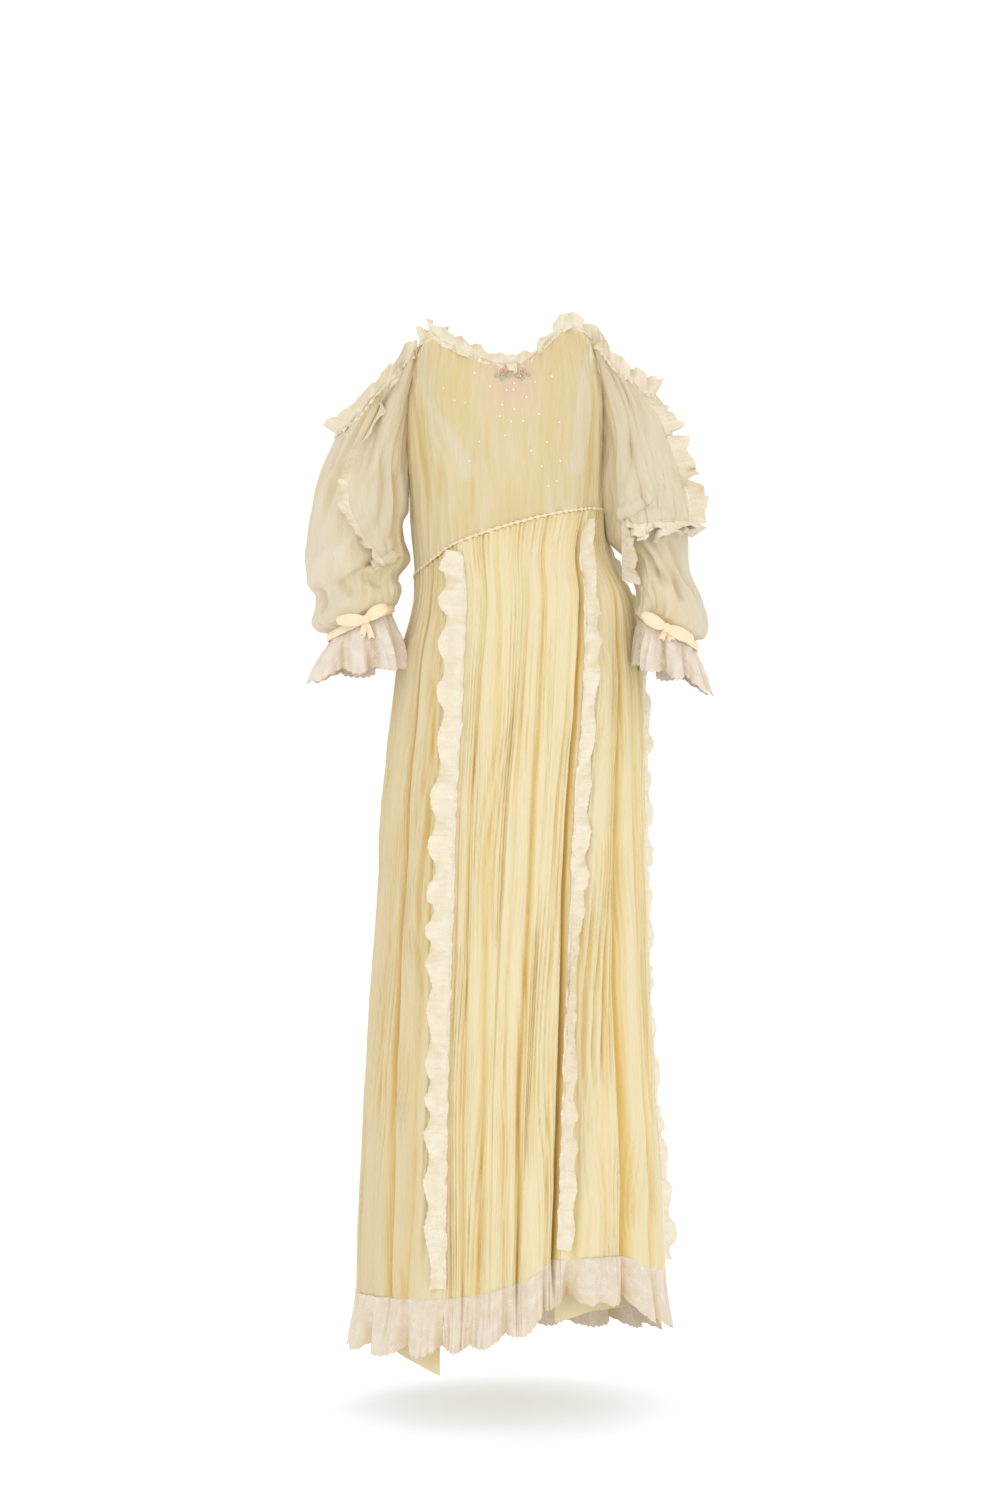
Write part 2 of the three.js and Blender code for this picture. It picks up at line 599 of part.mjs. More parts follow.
// Materials
const cloth = (color, roughness) => new THREE.MeshStandardMaterial({ color, roughness, metalness: 0 });
const CHIFFON_FINISH = cloth(0xeadcae, 0.85);
const LINING_FINISH = cloth(0xe0cb8c, 0.8);
const LACE_FINISH = cloth(0xefe5d8, 0.9);
const SATIN_FINISH = cloth(0xf3e0bd, 0.35);
const ROSE_FINISH = cloth(0xdf9f96, 0.6);

const gown = new THREE.Group();
function add(name, geometry, material) {
  const mesh = new THREE.Mesh(geometry, material);
  mesh.name = name;
  gown.add(mesh);
}

add("bodice_front", bodicePanel(-90, 90, 7), CHIFFON_FINISH);
add("bodice_back", bodicePanel(90, 270, 12), CHIFFON_FINISH);

const PANELS = [
  { name: "front", from: 0, to: 9 },
  { name: "side_left", from: 9, to: 14 },
  { name: "back_left", from: 14, to: 23 },
  { name: "back_right", from: 23, to: 31 },
  { name: "side_right", from: 31, to: FOLDS },
];
for (const { name, from, to } of PANELS) {
  const columns = foldColumns(from, to);
  add(`skirt_${name}`, clothWall(skirt, columns, SKIRT_RINGS, SKIRT_CLOTH), CHIFFON_FINISH);
  add(`hem_flounce_${name}`, clothWall(flounce, columns, [0, 1], LACE), LACE_FINISH);
}
const GORES = [
  { name: "front_left", from: 19, to: 90 },
  { name: "back_left", from: 90, to: 180 },
  { name: "back_right", from: 180, to: 270 },
  { name: "front_right", from: 270, to: 328 },
];
for (const { name, from, to } of GORES) {
  const seam = 0.06; // half the gap, in degrees
  const columns = spaced(from + seam, to - seam, 9);
  add(`underskirt_${name}`, clothWall(lining, columns, SKIRT_RINGS, LINING), LINING_FINISH);
}

// A flat cord over the waist seam
const piping = (deg, row, lift) => bodice(deg, waist(deg) + GAP + row * PIPING.tall, SEWN_ON + PIPING.thick + lift);
const pipingAngles = spaced(-90, 270, 49).slice(0, -1);
add("waist_piping", clothWall(piping, pipingAngles, [1, 0], PIPING.thick, true), SATIN_FINISH);

const underArm = [-60, -30, 0, 30];
const overArm = stepped(SLEEVE_TOP.right.map(({ turn }) => turn), 16).slice(0, -1);
const turns = [...stepped([...underArm, overArm[0]], 15).slice(0, -1), ...overArm];
const cuffTurns = range(CUFF_FOLDS * 4).map((i) => (i * 90) / CUFF_FOLDS);
for (const side of ["right", "left"]) {
  const surface = (turn, ring, lift) => sleeve(side, turn, ring, lift);
  add(`sleeve_${side}`, clothWall(surface, turns, range(SLEEVE[side].length + 1), CHIFFON, true), CHIFFON_FINISH);
  const upper = (share, row, lift) => flap(side, share, row, lift);
  const columns = spaced(0, 1, side === "left" ? 13 : 6);
  add(`sleeve_flap_${side}`, clothWall(upper, columns, range(FLAP[side].length), LACE), CHIFFON_FINISH);
  add(`flap_ruffle_${side}`, flapRuffle(side, side === "left" ? 10 : 5), LACE_FINISH);
  const lace = (turn, ring, lift) => cuff(side, turn, ring, lift);
  add(`cuff_${side}`, clothWall(lace, cuffTurns, range(CUFF[side].length), LACE, true), LACE_FINISH);
  const band = (turn, share, lift) => cuffBand(side, turn, share, lift);
  const bandTurns = spaced(0, 360, 25).slice(0, -1);
  add(`cuff_ribbon_${side}`, clothWall(band, bandTurns, [RIBBON.from, RIBBON.to], RIBBON.thick, true), SATIN_FINISH);
}

// Ruffles of the neckline, the sleeves' top edges and the skirt's seams
const neckEdge = (deg, lift) => bodice(deg, rowAt(NECKLINE, "deg", deg).z, lift);
add("neck_ruffle_front", standingRuffle(neckEdge, neckAngles(-62, 62, 4), 9), LACE_FINISH);
add("neck_ruffle_back", standingRuffle(neckEdge, neckAngles(117, 243, 7), 5), LACE_FINISH);
for (const side of ["right", "left"]) {
  const edge = (turn, lift) => sleeveTop(side, turn, lift);
  const over = stepped([66, ...SLEEVE_TOP[side].slice(1, -1).map(({ turn }) => turn), 292], 10);
  add(`shoulder_ruffle_${side}`, standingRuffle(edge, over, 6), LACE_FINISH);
}
add("skirt_ruffle_front_right", skirtRuffle(0, -1, 16, SKIRT_RUFFLE.width), LACE_FINISH);
add("skirt_ruffle_front_left", skirtRuffle(9, 1, 16, SIDE_RUFFLE_WIDTH), LACE_FINISH);
add("skirt_ruffle_side_left", skirtRuffle(14, 1, 9, SIDE_RUFFLE_WIDTH), LACE_FINISH);
add("skirt_ruffle_side_right", skirtRuffle(31, -1, 9, SIDE_RUFFLE_WIDTH), LACE_FINISH);

// Sets a piece made flat in XZ on a face, its back at the root and its front along the normal.
function placed(geometry, root, normal) {
  const turn = new THREE.Quaternion().setFromUnitVectors(point(0, -1, 0), normal);
  return geometry.applyQuaternion(turn).translate(root.x, root.y, root.z);
}
for (const side of ["right", "left"]) {
  const { turn, loops, tails } = BOWS[side];
  const onBand = KNOT.radius * KNOT.deep + GAP;
  const root = cuffBand(side, turn, 0.5, onBand);
  const normal = cuffBand(side, turn, 0.5, onBand + 1).sub(root).normalize();
  add(`bow_${side}`, placed(bow(loops, tails), root, normal), SATIN_FINISH);
  const seat = bodice(ROSEBUD_DEG[side], ROSEBUD.z, SEWN_ON);
  const out = bodice(ROSEBUD_DEG[side], ROSEBUD.z, SEWN_ON + 1).sub(seat).normalize();
  add(`rosebud_${side}`, placed(rosebud(), seat, out), ROSE_FINISH);
}

export default gown;
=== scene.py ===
import math

import bpy
import numpy as np
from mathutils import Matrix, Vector


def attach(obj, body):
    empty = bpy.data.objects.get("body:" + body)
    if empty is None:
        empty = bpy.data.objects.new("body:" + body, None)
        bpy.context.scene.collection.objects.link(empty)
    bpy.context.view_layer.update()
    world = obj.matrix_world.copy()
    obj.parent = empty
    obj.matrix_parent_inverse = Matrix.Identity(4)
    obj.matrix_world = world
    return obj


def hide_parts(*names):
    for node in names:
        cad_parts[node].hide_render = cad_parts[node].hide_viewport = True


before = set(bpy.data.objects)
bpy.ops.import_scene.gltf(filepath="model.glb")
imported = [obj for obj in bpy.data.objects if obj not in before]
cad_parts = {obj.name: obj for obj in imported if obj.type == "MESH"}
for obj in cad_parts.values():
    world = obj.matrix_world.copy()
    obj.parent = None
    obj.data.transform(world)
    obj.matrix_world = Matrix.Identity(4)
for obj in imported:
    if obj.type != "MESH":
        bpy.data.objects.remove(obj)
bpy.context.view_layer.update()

# Lengths below are millimetres until a mesh is made. Angles round the body run from the centre front towards the
# wearer's left, and turns round a sleeve from the body over the front.
MM = 0.001
DRAFT = 1

# Main sizes, as in the solids
CUP = dict(proud=9, deg=33, wide=20, z=-5, tall=55)
WAIST = dict(z=-193, side_tilt=38, front_rise=16, hip_dip=10)
UNEVEN = dict(depth=0.3, width=0.17, sway=0.14)
SKIRT_CLOTH = 2
FLOUNCE_FLARE = 12
LINING_CLEAR = 5
BODICE_LINING_INSET = 3.2
SEAM_GAP = 0.008  # left open at a skirt panel's edge, as a share of a fold
BELOW_WAIST = 0.3  # the skirt starts this far below the waist line
SKIRT_PROUD = 2.5  # the gauze's crests above the skirt's outline
INWARD = {"right": 1, "left": -1}
UP = (0.0, 0.0, 1.0)


def count(n):
    """A number of points, halved in a draft."""
    return max(8, int(n * DRAFT))

def table(columns, *rows):
    names = columns.split()
    return {name: np.array([row[i] for row in rows], float) for i, name in enumerate(names)}


BODICE = table(
    "z cx cy half front back",
    (-240, 5, 0, 126, 100, 90), (-170, 4, 0, 130, 101, 88), (-120, 3, 0, 131, 104, 87),
    (-60, 0, 0, 133, 109, 88), (0, 0, 0, 134, 112, 89), (60, 0, 0, 128, 101, 86), (110, 0, 0, 116, 90, 80),
)
NECKLINE = table(
    "deg z",
    (-112, 42), (-101, -15), (-90, -58), (-78, -8), (-66, 64), (-54, 82), (-36, 67), (-17, 48), (0, 36),
    (12, 41), (21, 59), (31, 78), (47, 95), (66, 77), (78, 4), (90, -48), (101, -10), (112, 45), (145, 38),
    (180, 34), (215, 37), (248, 42), (259, -15), (270, -58),
)
ARMHOLE = dict(front=66, under=90, back=112)
SKIRT = table(
    "z cx cy half front back",
    (-1300, 8, 16, 210, 184, 196), (-1080, 7, 14, 204, 180, 186), (-945, 6, 12, 196, 172, 176),
    (-810, 7, 10, 188, 164, 166), (-675, 9, 9, 181, 157, 157), (-540, 11, 8, 176, 149, 148),
    (-405, 18, 6, 168, 139, 137), (-270, 20, 3, 151, 121, 117), (-210, 15, 1, 137, 108, 101),
    (-150, 5, 0, 132, 103, 90),
)
SEAMS = table(
    "fold waist hip knee hem",
    (0, -30, -28, -26, -25), (9, 54, 35, 29, 18), (14, 83, 83, 84, 86), (23, 170, 170, 170, 170),
    (31, 244, 240, 238, 238), (40, 330, 332, 334, 335),
)
SEAM_LEVELS = ("waist", "hip", "knee", "hem")
DOWN = np.array([0, 0.12, 0.35, 1])
FOLD_DEPTH = table("down depth", (0, 4), (0.04, 6), (0.12, 8), (0.3, 10), (0.62, 12), (1, 14))
UNDERSKIRT_INSET = table("down inset", (0, 5.2), (0.04, 9.1), (0.12, 14.3), (0.3, 18.2), (0.62, 23.4), (1, 27.3))
HEM = table(
    "deg z drop",
    (-102, -1208, 74), (-90, -1205, 74), (-24, -1190, 73), (4, -1166, 66), (17, -1138, 58), (45, -1140, 64),
    (60, -1158, 72), (85, -1176, 74), (130, -1202, 74), (180, -1213, 74), (230, -1213, 74), (258, -1208, 74),
    (270, -1205, 74), (336, -1190, 73),
)
LINING_HEM = table(
    "deg z",
    (19, -1225), (40, -1213), (90, -1222), (180, -1262), (270, -1262), (308, -1281), (328, -1297),
)
SLEEVE_TOP = {
    "right": table(
        "turn x y z",
        (60, -119, -43, 64), (76, -136, -50, 46), (92, -153, -54, 26), (112, -172, -56, 4),
        (135, -200, -48, -30), (180, -229, 0, -46), (225, -206, 44, -28), (268, -160, 52, 14),
        (300, -120, 36, 42),
    ),
    "left": table(
        "turn x y z",
        (60, 119, -43, 77), (76, 134, -50, 56), (92, 150, -54, 36), (112, 168, -54, 24), (135, 186, -46, 6),
        (180, 203, 0, 8), (225, 190, 42, 12), (268, 158, 52, 28), (300, 120, 36, 45),
    ),
}
SLEEVE = {
    "right": table(
        "z cx cy rx ry tilt",
        (-86, -190, -2, 55, 52, 0.02), (-136, -198, -5, 63, 60, 0.05), (-194, -203, -12, 66, 64, 0.12),
        (-232, -197, -20, 68, 62, 0.24), (-252, -201, -23, 53, 52, 0.3), (-262, -201, -26, 52, 50, 0.32),
        (-279, -202, -30, 57, 53, 0.38), (-292, -198, -34, 50, 48, 0.42), (-296, -194, -36, 41, 40, 0.45),
        (-303, -194, -38, 40, 39, 0.45),
    ),
    "left": table(
        "z cx cy rx ry tilt",
        (-47, 181, -2, 44, 50, 0.4), (-96, 185, -5, 51, 53, 0.2), (-142, 191, -10, 55, 54, 0.1),
        (-185, 195, -18, 54, 52, 0), (-222, 211, -28, 38, 44, -0.1), (-262, 223, -38, 44, 46, -0.3),
        (-288, 228, -44, 46, 47, -0.45), (-303, 224, -48, 42, 44, -0.55), (-306, 218, -50, 37, 39, -0.58),
        (-313, 217, -52, 36, 38, -0.58),
    ),
}
CUFF = {
    "right": table(
        "z cx cy rx ry tilt fold",
        (-303, -194, -38, 40, 39, 0.45, 2), (-311, -194, -40, 41, 40, 0.43, 3),
        (-337, -196, -46, 54, 50, 0.26, 11), (-369, -196, -54, 61, 58, 0.12, 16),
    ),
    "left": table(
        "z cx cy rx ry tilt fold",
        (-313, 217, -52, 36, 38, -0.58, 2), (-321, 217, -54, 37, 39, -0.56, 3),
        (-344, 219, -58, 44, 46, -0.45, 9), (-376, 222, -64, 50, 52, -0.33, 13),
    ),
}
FLAP = {
    "right": table(
        "row ring start edge off",
        (0, 0.08, 62, 86, 0.4), (1, 1, 50, 102, 1), (2, 2, 44, 98, 2), (3, 3, 42, 76, 3), (4, 4, 40, 54, 3),
    ),
    "left": table(
        "row ring start edge off",
        (0, 0.08, 62, 112, 0.6), (1, 1, 50, 124, 2), (2, 2, 50, 144, 4), (3, 3, 52, 156, 6),
        (4, 3.65, 52, 150, 9),
    ),
}

# ---------------------------------------------------------------- numbers


def smooth(knots, values, x):
    """A monotone cubic through values at knots. values may have more axes after the first when x is one number."""
    values = np.asarray(values, float)
    step = np.diff(knots)
    slope = np.diff(values, axis=0) / step.reshape((-1,) + (1,) * (values.ndim - 1))
    m = np.zeros_like(values)
    m[0], m[-1] = slope[0], slope[-1]
    product = slope[:-1] * slope[1:]
    total = slope[:-1] + slope[1:]
    m[1:-1] = np.where(product > 0, 2 * product / np.where(total == 0, 1, total), 0)
    x = np.clip(x, knots[0], knots[-1])
    i = np.clip(np.searchsorted(knots, x) - 1, 0, len(knots) - 2)
    t = (x - knots[i]) / step[i]
    h00, h10 = 2 * t**3 - 3 * t**2 + 1, t**3 - 2 * t**2 + t
    h01, h11 = -2 * t**3 + 3 * t**2, t**3 - t**2
    return h00 * values[i] + h10 * step[i] * m[i] + h01 * values[i + 1] + h11 * step[i] * m[i + 1]


def at(tab, column, value, *wanted):
    """Columns of a table at a value of one of them."""
    order = np.argsort(tab[column])
    knots = tab[column][order]
    names = wanted or [name for name in tab if name != column]
    got = {name: smooth(knots, tab[name][order], value) for name in names}
    return got[wanted[0]] if len(wanted) == 1 else got


def ease(x, low, high):
    """A smooth step from 0 at low to 1 at high."""
    t = np.clip((x - low) / (high - low), 0, 1)
    return t * t * (3 - 2 * t)


def noise(seed, *coords):
    """Smooth random values from -1 to 1, one unit apart in each coordinate."""
    rng = np.random.default_rng(seed)
    coords = np.broadcast_arrays(*[np.asarray(c, float) for c in coords])
    size = 64
    grid = rng.uniform(-1, 1, (size,) * len(coords))
    cells = [np.floor(c).astype(int) for c in coords]
    parts = [c - np.floor(c) for c in coords]
    parts = [t * t * (3 - 2 * t) for t in parts]
    out = np.zeros(coords[0].shape)
    for corner in range(2 ** len(coords)):
        bits = [(corner >> k) & 1 for k in range(len(coords))]
        weight = np.ones(coords[0].shape)
        for bit, t in zip(bits, parts):
            weight = weight * (t if bit else 1 - t)
        out += weight * grid[tuple((c + bit) % size for c, bit in zip(cells, bits))]
    return out


def creases(across, down, lines):
    """Soft troughs (negative depth) or ridges along given lines. Each line has its two ends, width and depth."""
    out = np.zeros(np.broadcast(across, down).shape)
    for a0, d0, a1, d1, wide, deep in lines:
        length = math.hypot(a1 - a0, d1 - d0)
        ta, td = (a1 - a0) / length, (d1 - d0) / length
        along = ((across - a0) * ta + (down - d0) * td) / length
        bow = 0.12 * length * np.sin(math.pi * np.clip(along, 0, 1)) * math.sin(a0 + 3 * d1)
        side = (across - a0) * -td + (down - d0) * ta - bow
        inside = ease(along, -0.08, 0.22) * (1 - ease(along, 0.7, 1.08))
        out += deep * inside * np.exp(-((side / wide) ** 2))
    return out


def normals(grid, loop=False):
    if loop:
        across = np.roll(grid, -1, 1) - np.roll(grid, 1, 1)
    else:
        across = np.gradient(grid, axis=1)
    n = np.cross(across, np.gradient(grid, axis=0))
    return n / np.maximum(np.linalg.norm(n, axis=-1, keepdims=True), 1e-9)


def facing(n, grid, centre):
    """Normals turned away from a centre line."""
    out = grid[..., :2] - np.asarray(centre, float)
    sign = np.sign((n[..., :2] * out).sum(-1).mean())
    return n * (sign or 1)


# ---------------------------------------------------------------- surfaces


def sin_cos(deg):
    return np.sin(np.radians(deg)), np.cos(np.radians(deg))


def on_oval(s, deg, z, lift):
    """Points lift millimetres off an oval of half width, front and back depth."""
    sin, cos = sin_cos(deg)
    depth = np.where(cos > 0, s["front"], s["back"])
    nx, ny = sin / s["half"], -cos / depth
    n = np.hypot(nx, ny)
    x = s["cx"] + s["half"] * sin + lift * nx / n
    y = s["cy"] - depth * cos + lift * ny / n
    return np.stack(np.broadcast_arrays(x, y, z), -1)


def waist(deg):
    sin, cos = sin_cos(deg)
    low = WAIST["hip_dip"] * ease(-sin, 0.5, 0.95)
    return WAIST["z"] + WAIST["side_tilt"] * sin + WAIST["front_rise"] * cos - low


def bodice(deg, z, lift=0):
    from_cup = (np.abs(deg) - CUP["deg"]) / CUP["wide"]
    cup = CUP["proud"] * np.exp(-(from_cup**2) - ((z - CUP["z"]) / CUP["tall"]) ** 2)
    return on_oval(at(BODICE, "z", z), deg, z, cup + lift)


def neck_z(deg):
    return at(NECKLINE, "deg", deg, "z")


def panel_of(fold):
    return np.clip(np.searchsorted(SEAMS["fold"], fold, side="right") - 1, 0, len(SEAMS["fold"]) - 2)


def seam_angle(fold, down):
    """The angle round the body of a fold, at a share of the way down the skirt."""
    i = panel_of(fold)
    first, last = SEAMS["fold"][i], SEAMS["fold"][i + 1]
    share = (fold - first) / (last - first)
    in_panel = np.minimum(1, np.minimum(4 * share, 4 * (1 - share)))
    uneven = UNEVEN["width"] * np.sin(2.6 * fold) + UNEVEN["sway"] * np.sin(1.9 * fold + 5 * down)
    place = share + in_panel * uneven / (last - first)
    levels = [SEAMS[k][i] + (SEAMS[k][i + 1] - SEAMS[k][i]) * place for k in SEAM_LEVELS]
    return smooth(DOWN, np.stack(levels), down)


def hem_at(deg, column):
    return at(HEM, "deg", np.where(deg > 270, deg - 360, deg), column)


def skirt_section(z, down):
    share = ease(down, 0, DOWN[1])
    body, skirt = at(BODICE, "z", z), at(SKIRT, "z", z)
    return {k: body[k] + (skirt[k] - body[k]) * share for k in skirt}


# How deep each fold is, as a share of the solids' folds: shallow ones, with a few deep ones among them
FOLD_SHARE = np.random.default_rng(11).uniform(0.2, 0.75, 41)
for deep_fold, deep_share in ((2, 0.95), (5, 0.85), (8, 1.3), (11, 1.7), (20, 1.2), (26, 1.3), (34, 1.1), (37, 1.0)):
    FOLD_SHARE[deep_fold] = deep_share


def fold_depth(fold, down):
    whole = np.clip(np.floor(fold).astype(int), 0, 40)
    own = 1 + UNEVEN["depth"] * np.sin(1.7 * whole + 1)
    return at(FOLD_DEPTH, "down", down, "depth") * np.minimum(own * FOLD_SHARE[whole], 1.7)


def valley(fold, sharp=0.75):
    return 1 - np.abs(np.cos(math.pi * fold)) ** sharp


def off_seam(fold):
    """0 on a seam between panels, where the lace is sewn, and 1 away from it."""
    return ease(np.min(np.abs(np.asarray(fold)[..., None] - SEAMS["fold"]), -1), 0.03, 0.5)


def breadth(fold):
    """How strong the crinkle is in a panel: its folds' breadth at the hem against that of a usual one."""
    degrees = np.diff(SEAMS["hem"]) / np.diff(SEAMS["fold"])
    return np.clip(degrees / 8, 0.55, 1.4)[panel_of(fold)]


# Depths in mm of the crinkles between the folds and of the waist's gathers, and how soon the gathers fade
CRINKLE = dict(broad=5.6, fine=2.4, gather=3.2, fine_gather=1.4, fade=0.06)
# How far the gauze may sink: a share of the underskirt's inset, and some mm more
ROOM = dict(share=0.75, more=2)


def sunk(fold, down):
    """How far the gauze lies below the skirt's outline: its folds, the small gathers at the waist and the crinkle."""
    free = off_seam(fold)
    drift = free * (0.34 * noise(5, fold * 0.55, down * 2.6) + 0.09 * noise(6, fold * 1.7, down * 8))
    main = valley(fold + drift) * fold_depth(fold + drift, down)
    second = valley(2.37 * fold + 1.25 * noise(25, fold * 0.8, down * 4.2), 0.6)
    second = second * ease(noise(26, fold * 0.9, down * 4.6), -0.45, 0.45)
    third = valley(5.6 * fold + 1.7 * noise(27, fold * 1.2, down * 8.5), 0.8)
    third = third * ease(noise(28, fold * 1.6, down * 10), -0.3, 0.5)
    strength = (0.3 + 0.7 * ease(down, 0.0, 0.3)) * breadth(fold)
    gathers = valley(fold * 3 + 0.5 * noise(23, fold * 1.3, down * 6), 0.9) * CRINKLE["gather"]
    fine = valley(fold * 6.3 + 0.6 * noise(29, fold * 2.3, down * 9), 0.9)
    gathers = gathers + CRINKLE["fine_gather"] * fine
    at_waist = np.exp(-down / CRINKLE["fade"])
    crinkle = strength * (CRINKLE["broad"] * second + CRINKLE["fine"] * third)
    depth = main + (0.2 + 0.8 * free) * (crinkle + gathers * at_waist)
    room = ROOM["share"] * at(UNDERSKIRT_INSET, "down", down, "inset") + ROOM["more"]
    return room * np.tanh(depth / room)


def skirt_row(fold, down):
    deg = seam_angle(fold, down)
    z = waist(deg) - BELOW_WAIST + (hem_at(deg, "z") - waist(deg) + BELOW_WAIST) * down
    depth = sunk(fold, down)
    cross = 1.2 * noise(24, fold * 1.6, down * 22)
    section = skirt_section(z, np.full_like(z, down))
    return on_oval(section, deg, z, SKIRT_PROUD - depth + cross), depth


def skirt_grid(folds, downs):
    rows = [skirt_row(folds, d) for d in downs]
    return np.stack([r[0] for r in rows]), np.stack([r[1] for r in rows])


# Where the hem's lace folds in between its lobes, in degrees, and how strongly
HEM_FOLDS = (
    (-26, 1.1), (-15, 0.8), (-2, 0.9), (12, 0.7), (21.5, 1.5), (34, 0.7), (47.5, 1.4), (67, 0.8), (84, 1.0),
    (101, 1.2), (119, 0.8), (136, 1.3), (158, 1.0), (171, 0.7), (189, 1.2), (208, 0.9), (226, 1.3),
    (243, 0.8), (259, 1.1), (276, 0.8), (296, 1.2), (318, 1.1), (334, 1.1),
)
# Half the breadth of such a fold in degrees, its depth and how far the lobes stand out in mm
LOBE = dict(breadth=4.2, deep=20, proud=3)


def flounce_grid(folds, downs):
    """The lace gathered on the hem: it flares from the skirt's last row into broad lobes with rounded ends."""
    deg = seam_angle(folds, 1.0)
    z, drop = hem_at(deg, "z"), hem_at(deg, "drop")
    section = at(SKIRT, "z", z)
    base = sunk(folds, 1.0)
    between = np.zeros_like(deg)
    for place, strength in HEM_FOLDS:
        between = np.maximum(between, strength * np.exp(-(np.abs(deg - place) / LOBE["breadth"])))
    out, deep = [], []
    for d in downs:
        gather = valley(folds * 2.1 + 1.1 * noise(31, folds * 0.7, 0.5 + 0.5 * d), 0.9)
        fine = noise(32, folds * 4.5, d * 1.3)
        ripple = 2.8 * gather * (0.4 + 0.6 * d) + 1.2 * fine * (0.3 + 0.7 * d)
        lobes = LOBE["deep"] * between - LOBE["proud"]
        depth = base * (1 - 0.7 * d) + lobes * d + ripple * ease(d, 0, 0.12)
        scallop = 2.0 * np.abs(np.sin(math.pi * folds * 4)) * ease(d, 0.8, 1)
        uneven = 0.05 * noise(36, folds * 0.27) * d
        fall = drop * d * (1.06 + uneven - (0.22 * between + 0.02 * gather) * d) + scallop
        out.append(on_oval(section, deg, z + 1.5 - fall, 3.3 + FLOUNCE_FLARE * d - depth))
        # Painted shade: darker in the folds between the lobes, in the gathers and along the seam
        shade = 0.8 * between * (0.25 + 0.75 * d) + 0.2 * gather * ease(d, 0, 0.12)
        deep.append(shade + 0.1 * math.exp(-d / 0.06))
    return np.stack(out), np.clip(np.stack(deep), 0, 1)


def lining_grid(degs, downs):
    rows = []
    for d in downs:
        z = waist(degs) - 1 + (at(LINING_HEM, "deg", degs, "z") - waist(degs) + 1) * d
        inset = at(UNDERSKIRT_INSET, "down", d, "inset")
        clear = 0.3 + (LINING_CLEAR - 0.3) * min(1, d * 10)
        soft = 1.5 + 1.5 * noise(41, degs / 9, d * 2.2)
        section = skirt_section(z, np.full_like(z, d))
        rows.append(on_oval(section, degs, z, -inset - SKIRT_CLOTH - clear - soft))
    return np.stack(rows)


def on_sleeve(row, side, turn, lift=0):
    """Points lift millimetres off one ring of a sleeve."""
    inward = INWARD[side]
    sin, cos = sin_cos(turn)
    nx, ny = inward * cos / row["rx"], -sin / row["ry"]
    n = np.hypot(nx, ny)
    x = row["cx"] + inward * row["rx"] * cos + lift * nx / n
    y = row["cy"] - row["ry"] * sin + lift * ny / n
    return np.stack(np.broadcast_arrays(x, y, row["z"] + row["tilt"] * (x - row["cx"])), -1)


def sleeve_top(side, turn):
    inward = INWARD[side]
    turn = np.asarray(turn, float) % 360
    over = at(SLEEVE_TOP[side], "turn", turn)
    signed = np.where(turn > 180, turn - 360, turn)
    target = np.where(signed > 0, ARMHOLE["front"], ARMHOLE["back"])
    deg = (ARMHOLE["under"] + (target - ARMHOLE["under"]) * np.clip(np.abs(signed) / 60, 0, 1)) * -inward
    under = bodice(deg, neck_z(deg), 0.3)
    free = ((turn >= 60) & (turn <= 300))[..., None]
    return np.where(free, np.stack([over["x"], over["y"], over["z"]], -1), under)


TURNS = 288
SLEEVE_ROWS = 150
TURN_LENGTH = 0.95  # millimetres of gauze for each degree of turn
ARM_RING = 6  # the ring between the two puffs, where the gauze is pinched


def sleeve_rings(side):
    """The sleeve's rings as places down it, in millimetres, from the top edge."""
    z = SLEEVE[side]["z"]
    return np.concatenate([[0], np.cumsum(np.concatenate([[75], np.abs(np.diff(z)) + 1.5]))])


# Folds placed on the sleeves: turn and place down the sleeve in mm for each end, width and depth in mm
SLEEVE_CREASES = {
    "right": [
        (75, 8, 92, 120, 7, -6), (96, 12, 84, 100, 6, -5), (118, 10, 130, 150, 8, -6),
        (150, 14, 158, 110, 8, -5), (62, 60, 66, 190, 6, -6), (40, 80, 52, 210, 7, -6),
        (30, 200, 110, 246, 7, -7), (70, 150, 120, 225, 7, 5), (100, 190, 160, 240, 8, 6),
        (20, 228, 88, 214, 6, -6), (48, 262, 84, 232, 5, -6), (92, 262, 118, 236, 5, -5),
        (140, 270, 152, 238, 6, -5), (176, 60, 184, 190, 9, -6), (210, 20, 204, 170, 8, -6),
        (236, 30, 246, 200, 7, -6), (262, 10, 270, 150, 7, -5), (290, 50, 286, 210, 8, -6),
        (318, 60, 322, 200, 7, -5), (250, 262, 230, 236, 6, -5), (300, 270, 318, 236, 6, -5),
    ],
    "left": [
        (72, 10, 64, 150, 7, -6), (88, 12, 96, 130, 7, -5), (60, 60, 84, 200, 7, -7),
        (110, 16, 122, 150, 8, -5), (44, 190, 100, 150, 7, 6), (50, 200, 92, 175, 5, -6),
        (48, 206, 120, 196, 6, 5), (58, 232, 88, 290, 7, -6), (92, 215, 116, 300, 8, -5),
        (120, 220, 148, 300, 8, -6), (76, 300, 66, 262, 5, -5), (104, 306, 98, 276, 5, -5),
        (136, 306, 134, 274, 6, -5), (160, 30, 168, 160, 9, -6), (196, 20, 204, 170, 8, -5),
        (228, 20, 222, 180, 7, -6), (256, 12, 262, 160, 7, -6), (284, 60, 292, 210, 8, -5),
        (320, 40, 314, 190, 7, -6), (190, 230, 200, 300, 8, -6), (250, 230, 262, 300, 7, -6),
        (310, 220, 302, 290, 7, -6),
    ],
}


def sleeve_centre(side):
    return [np.mean(SLEEVE[side][k][:4]) for k in ("cx", "cy")]


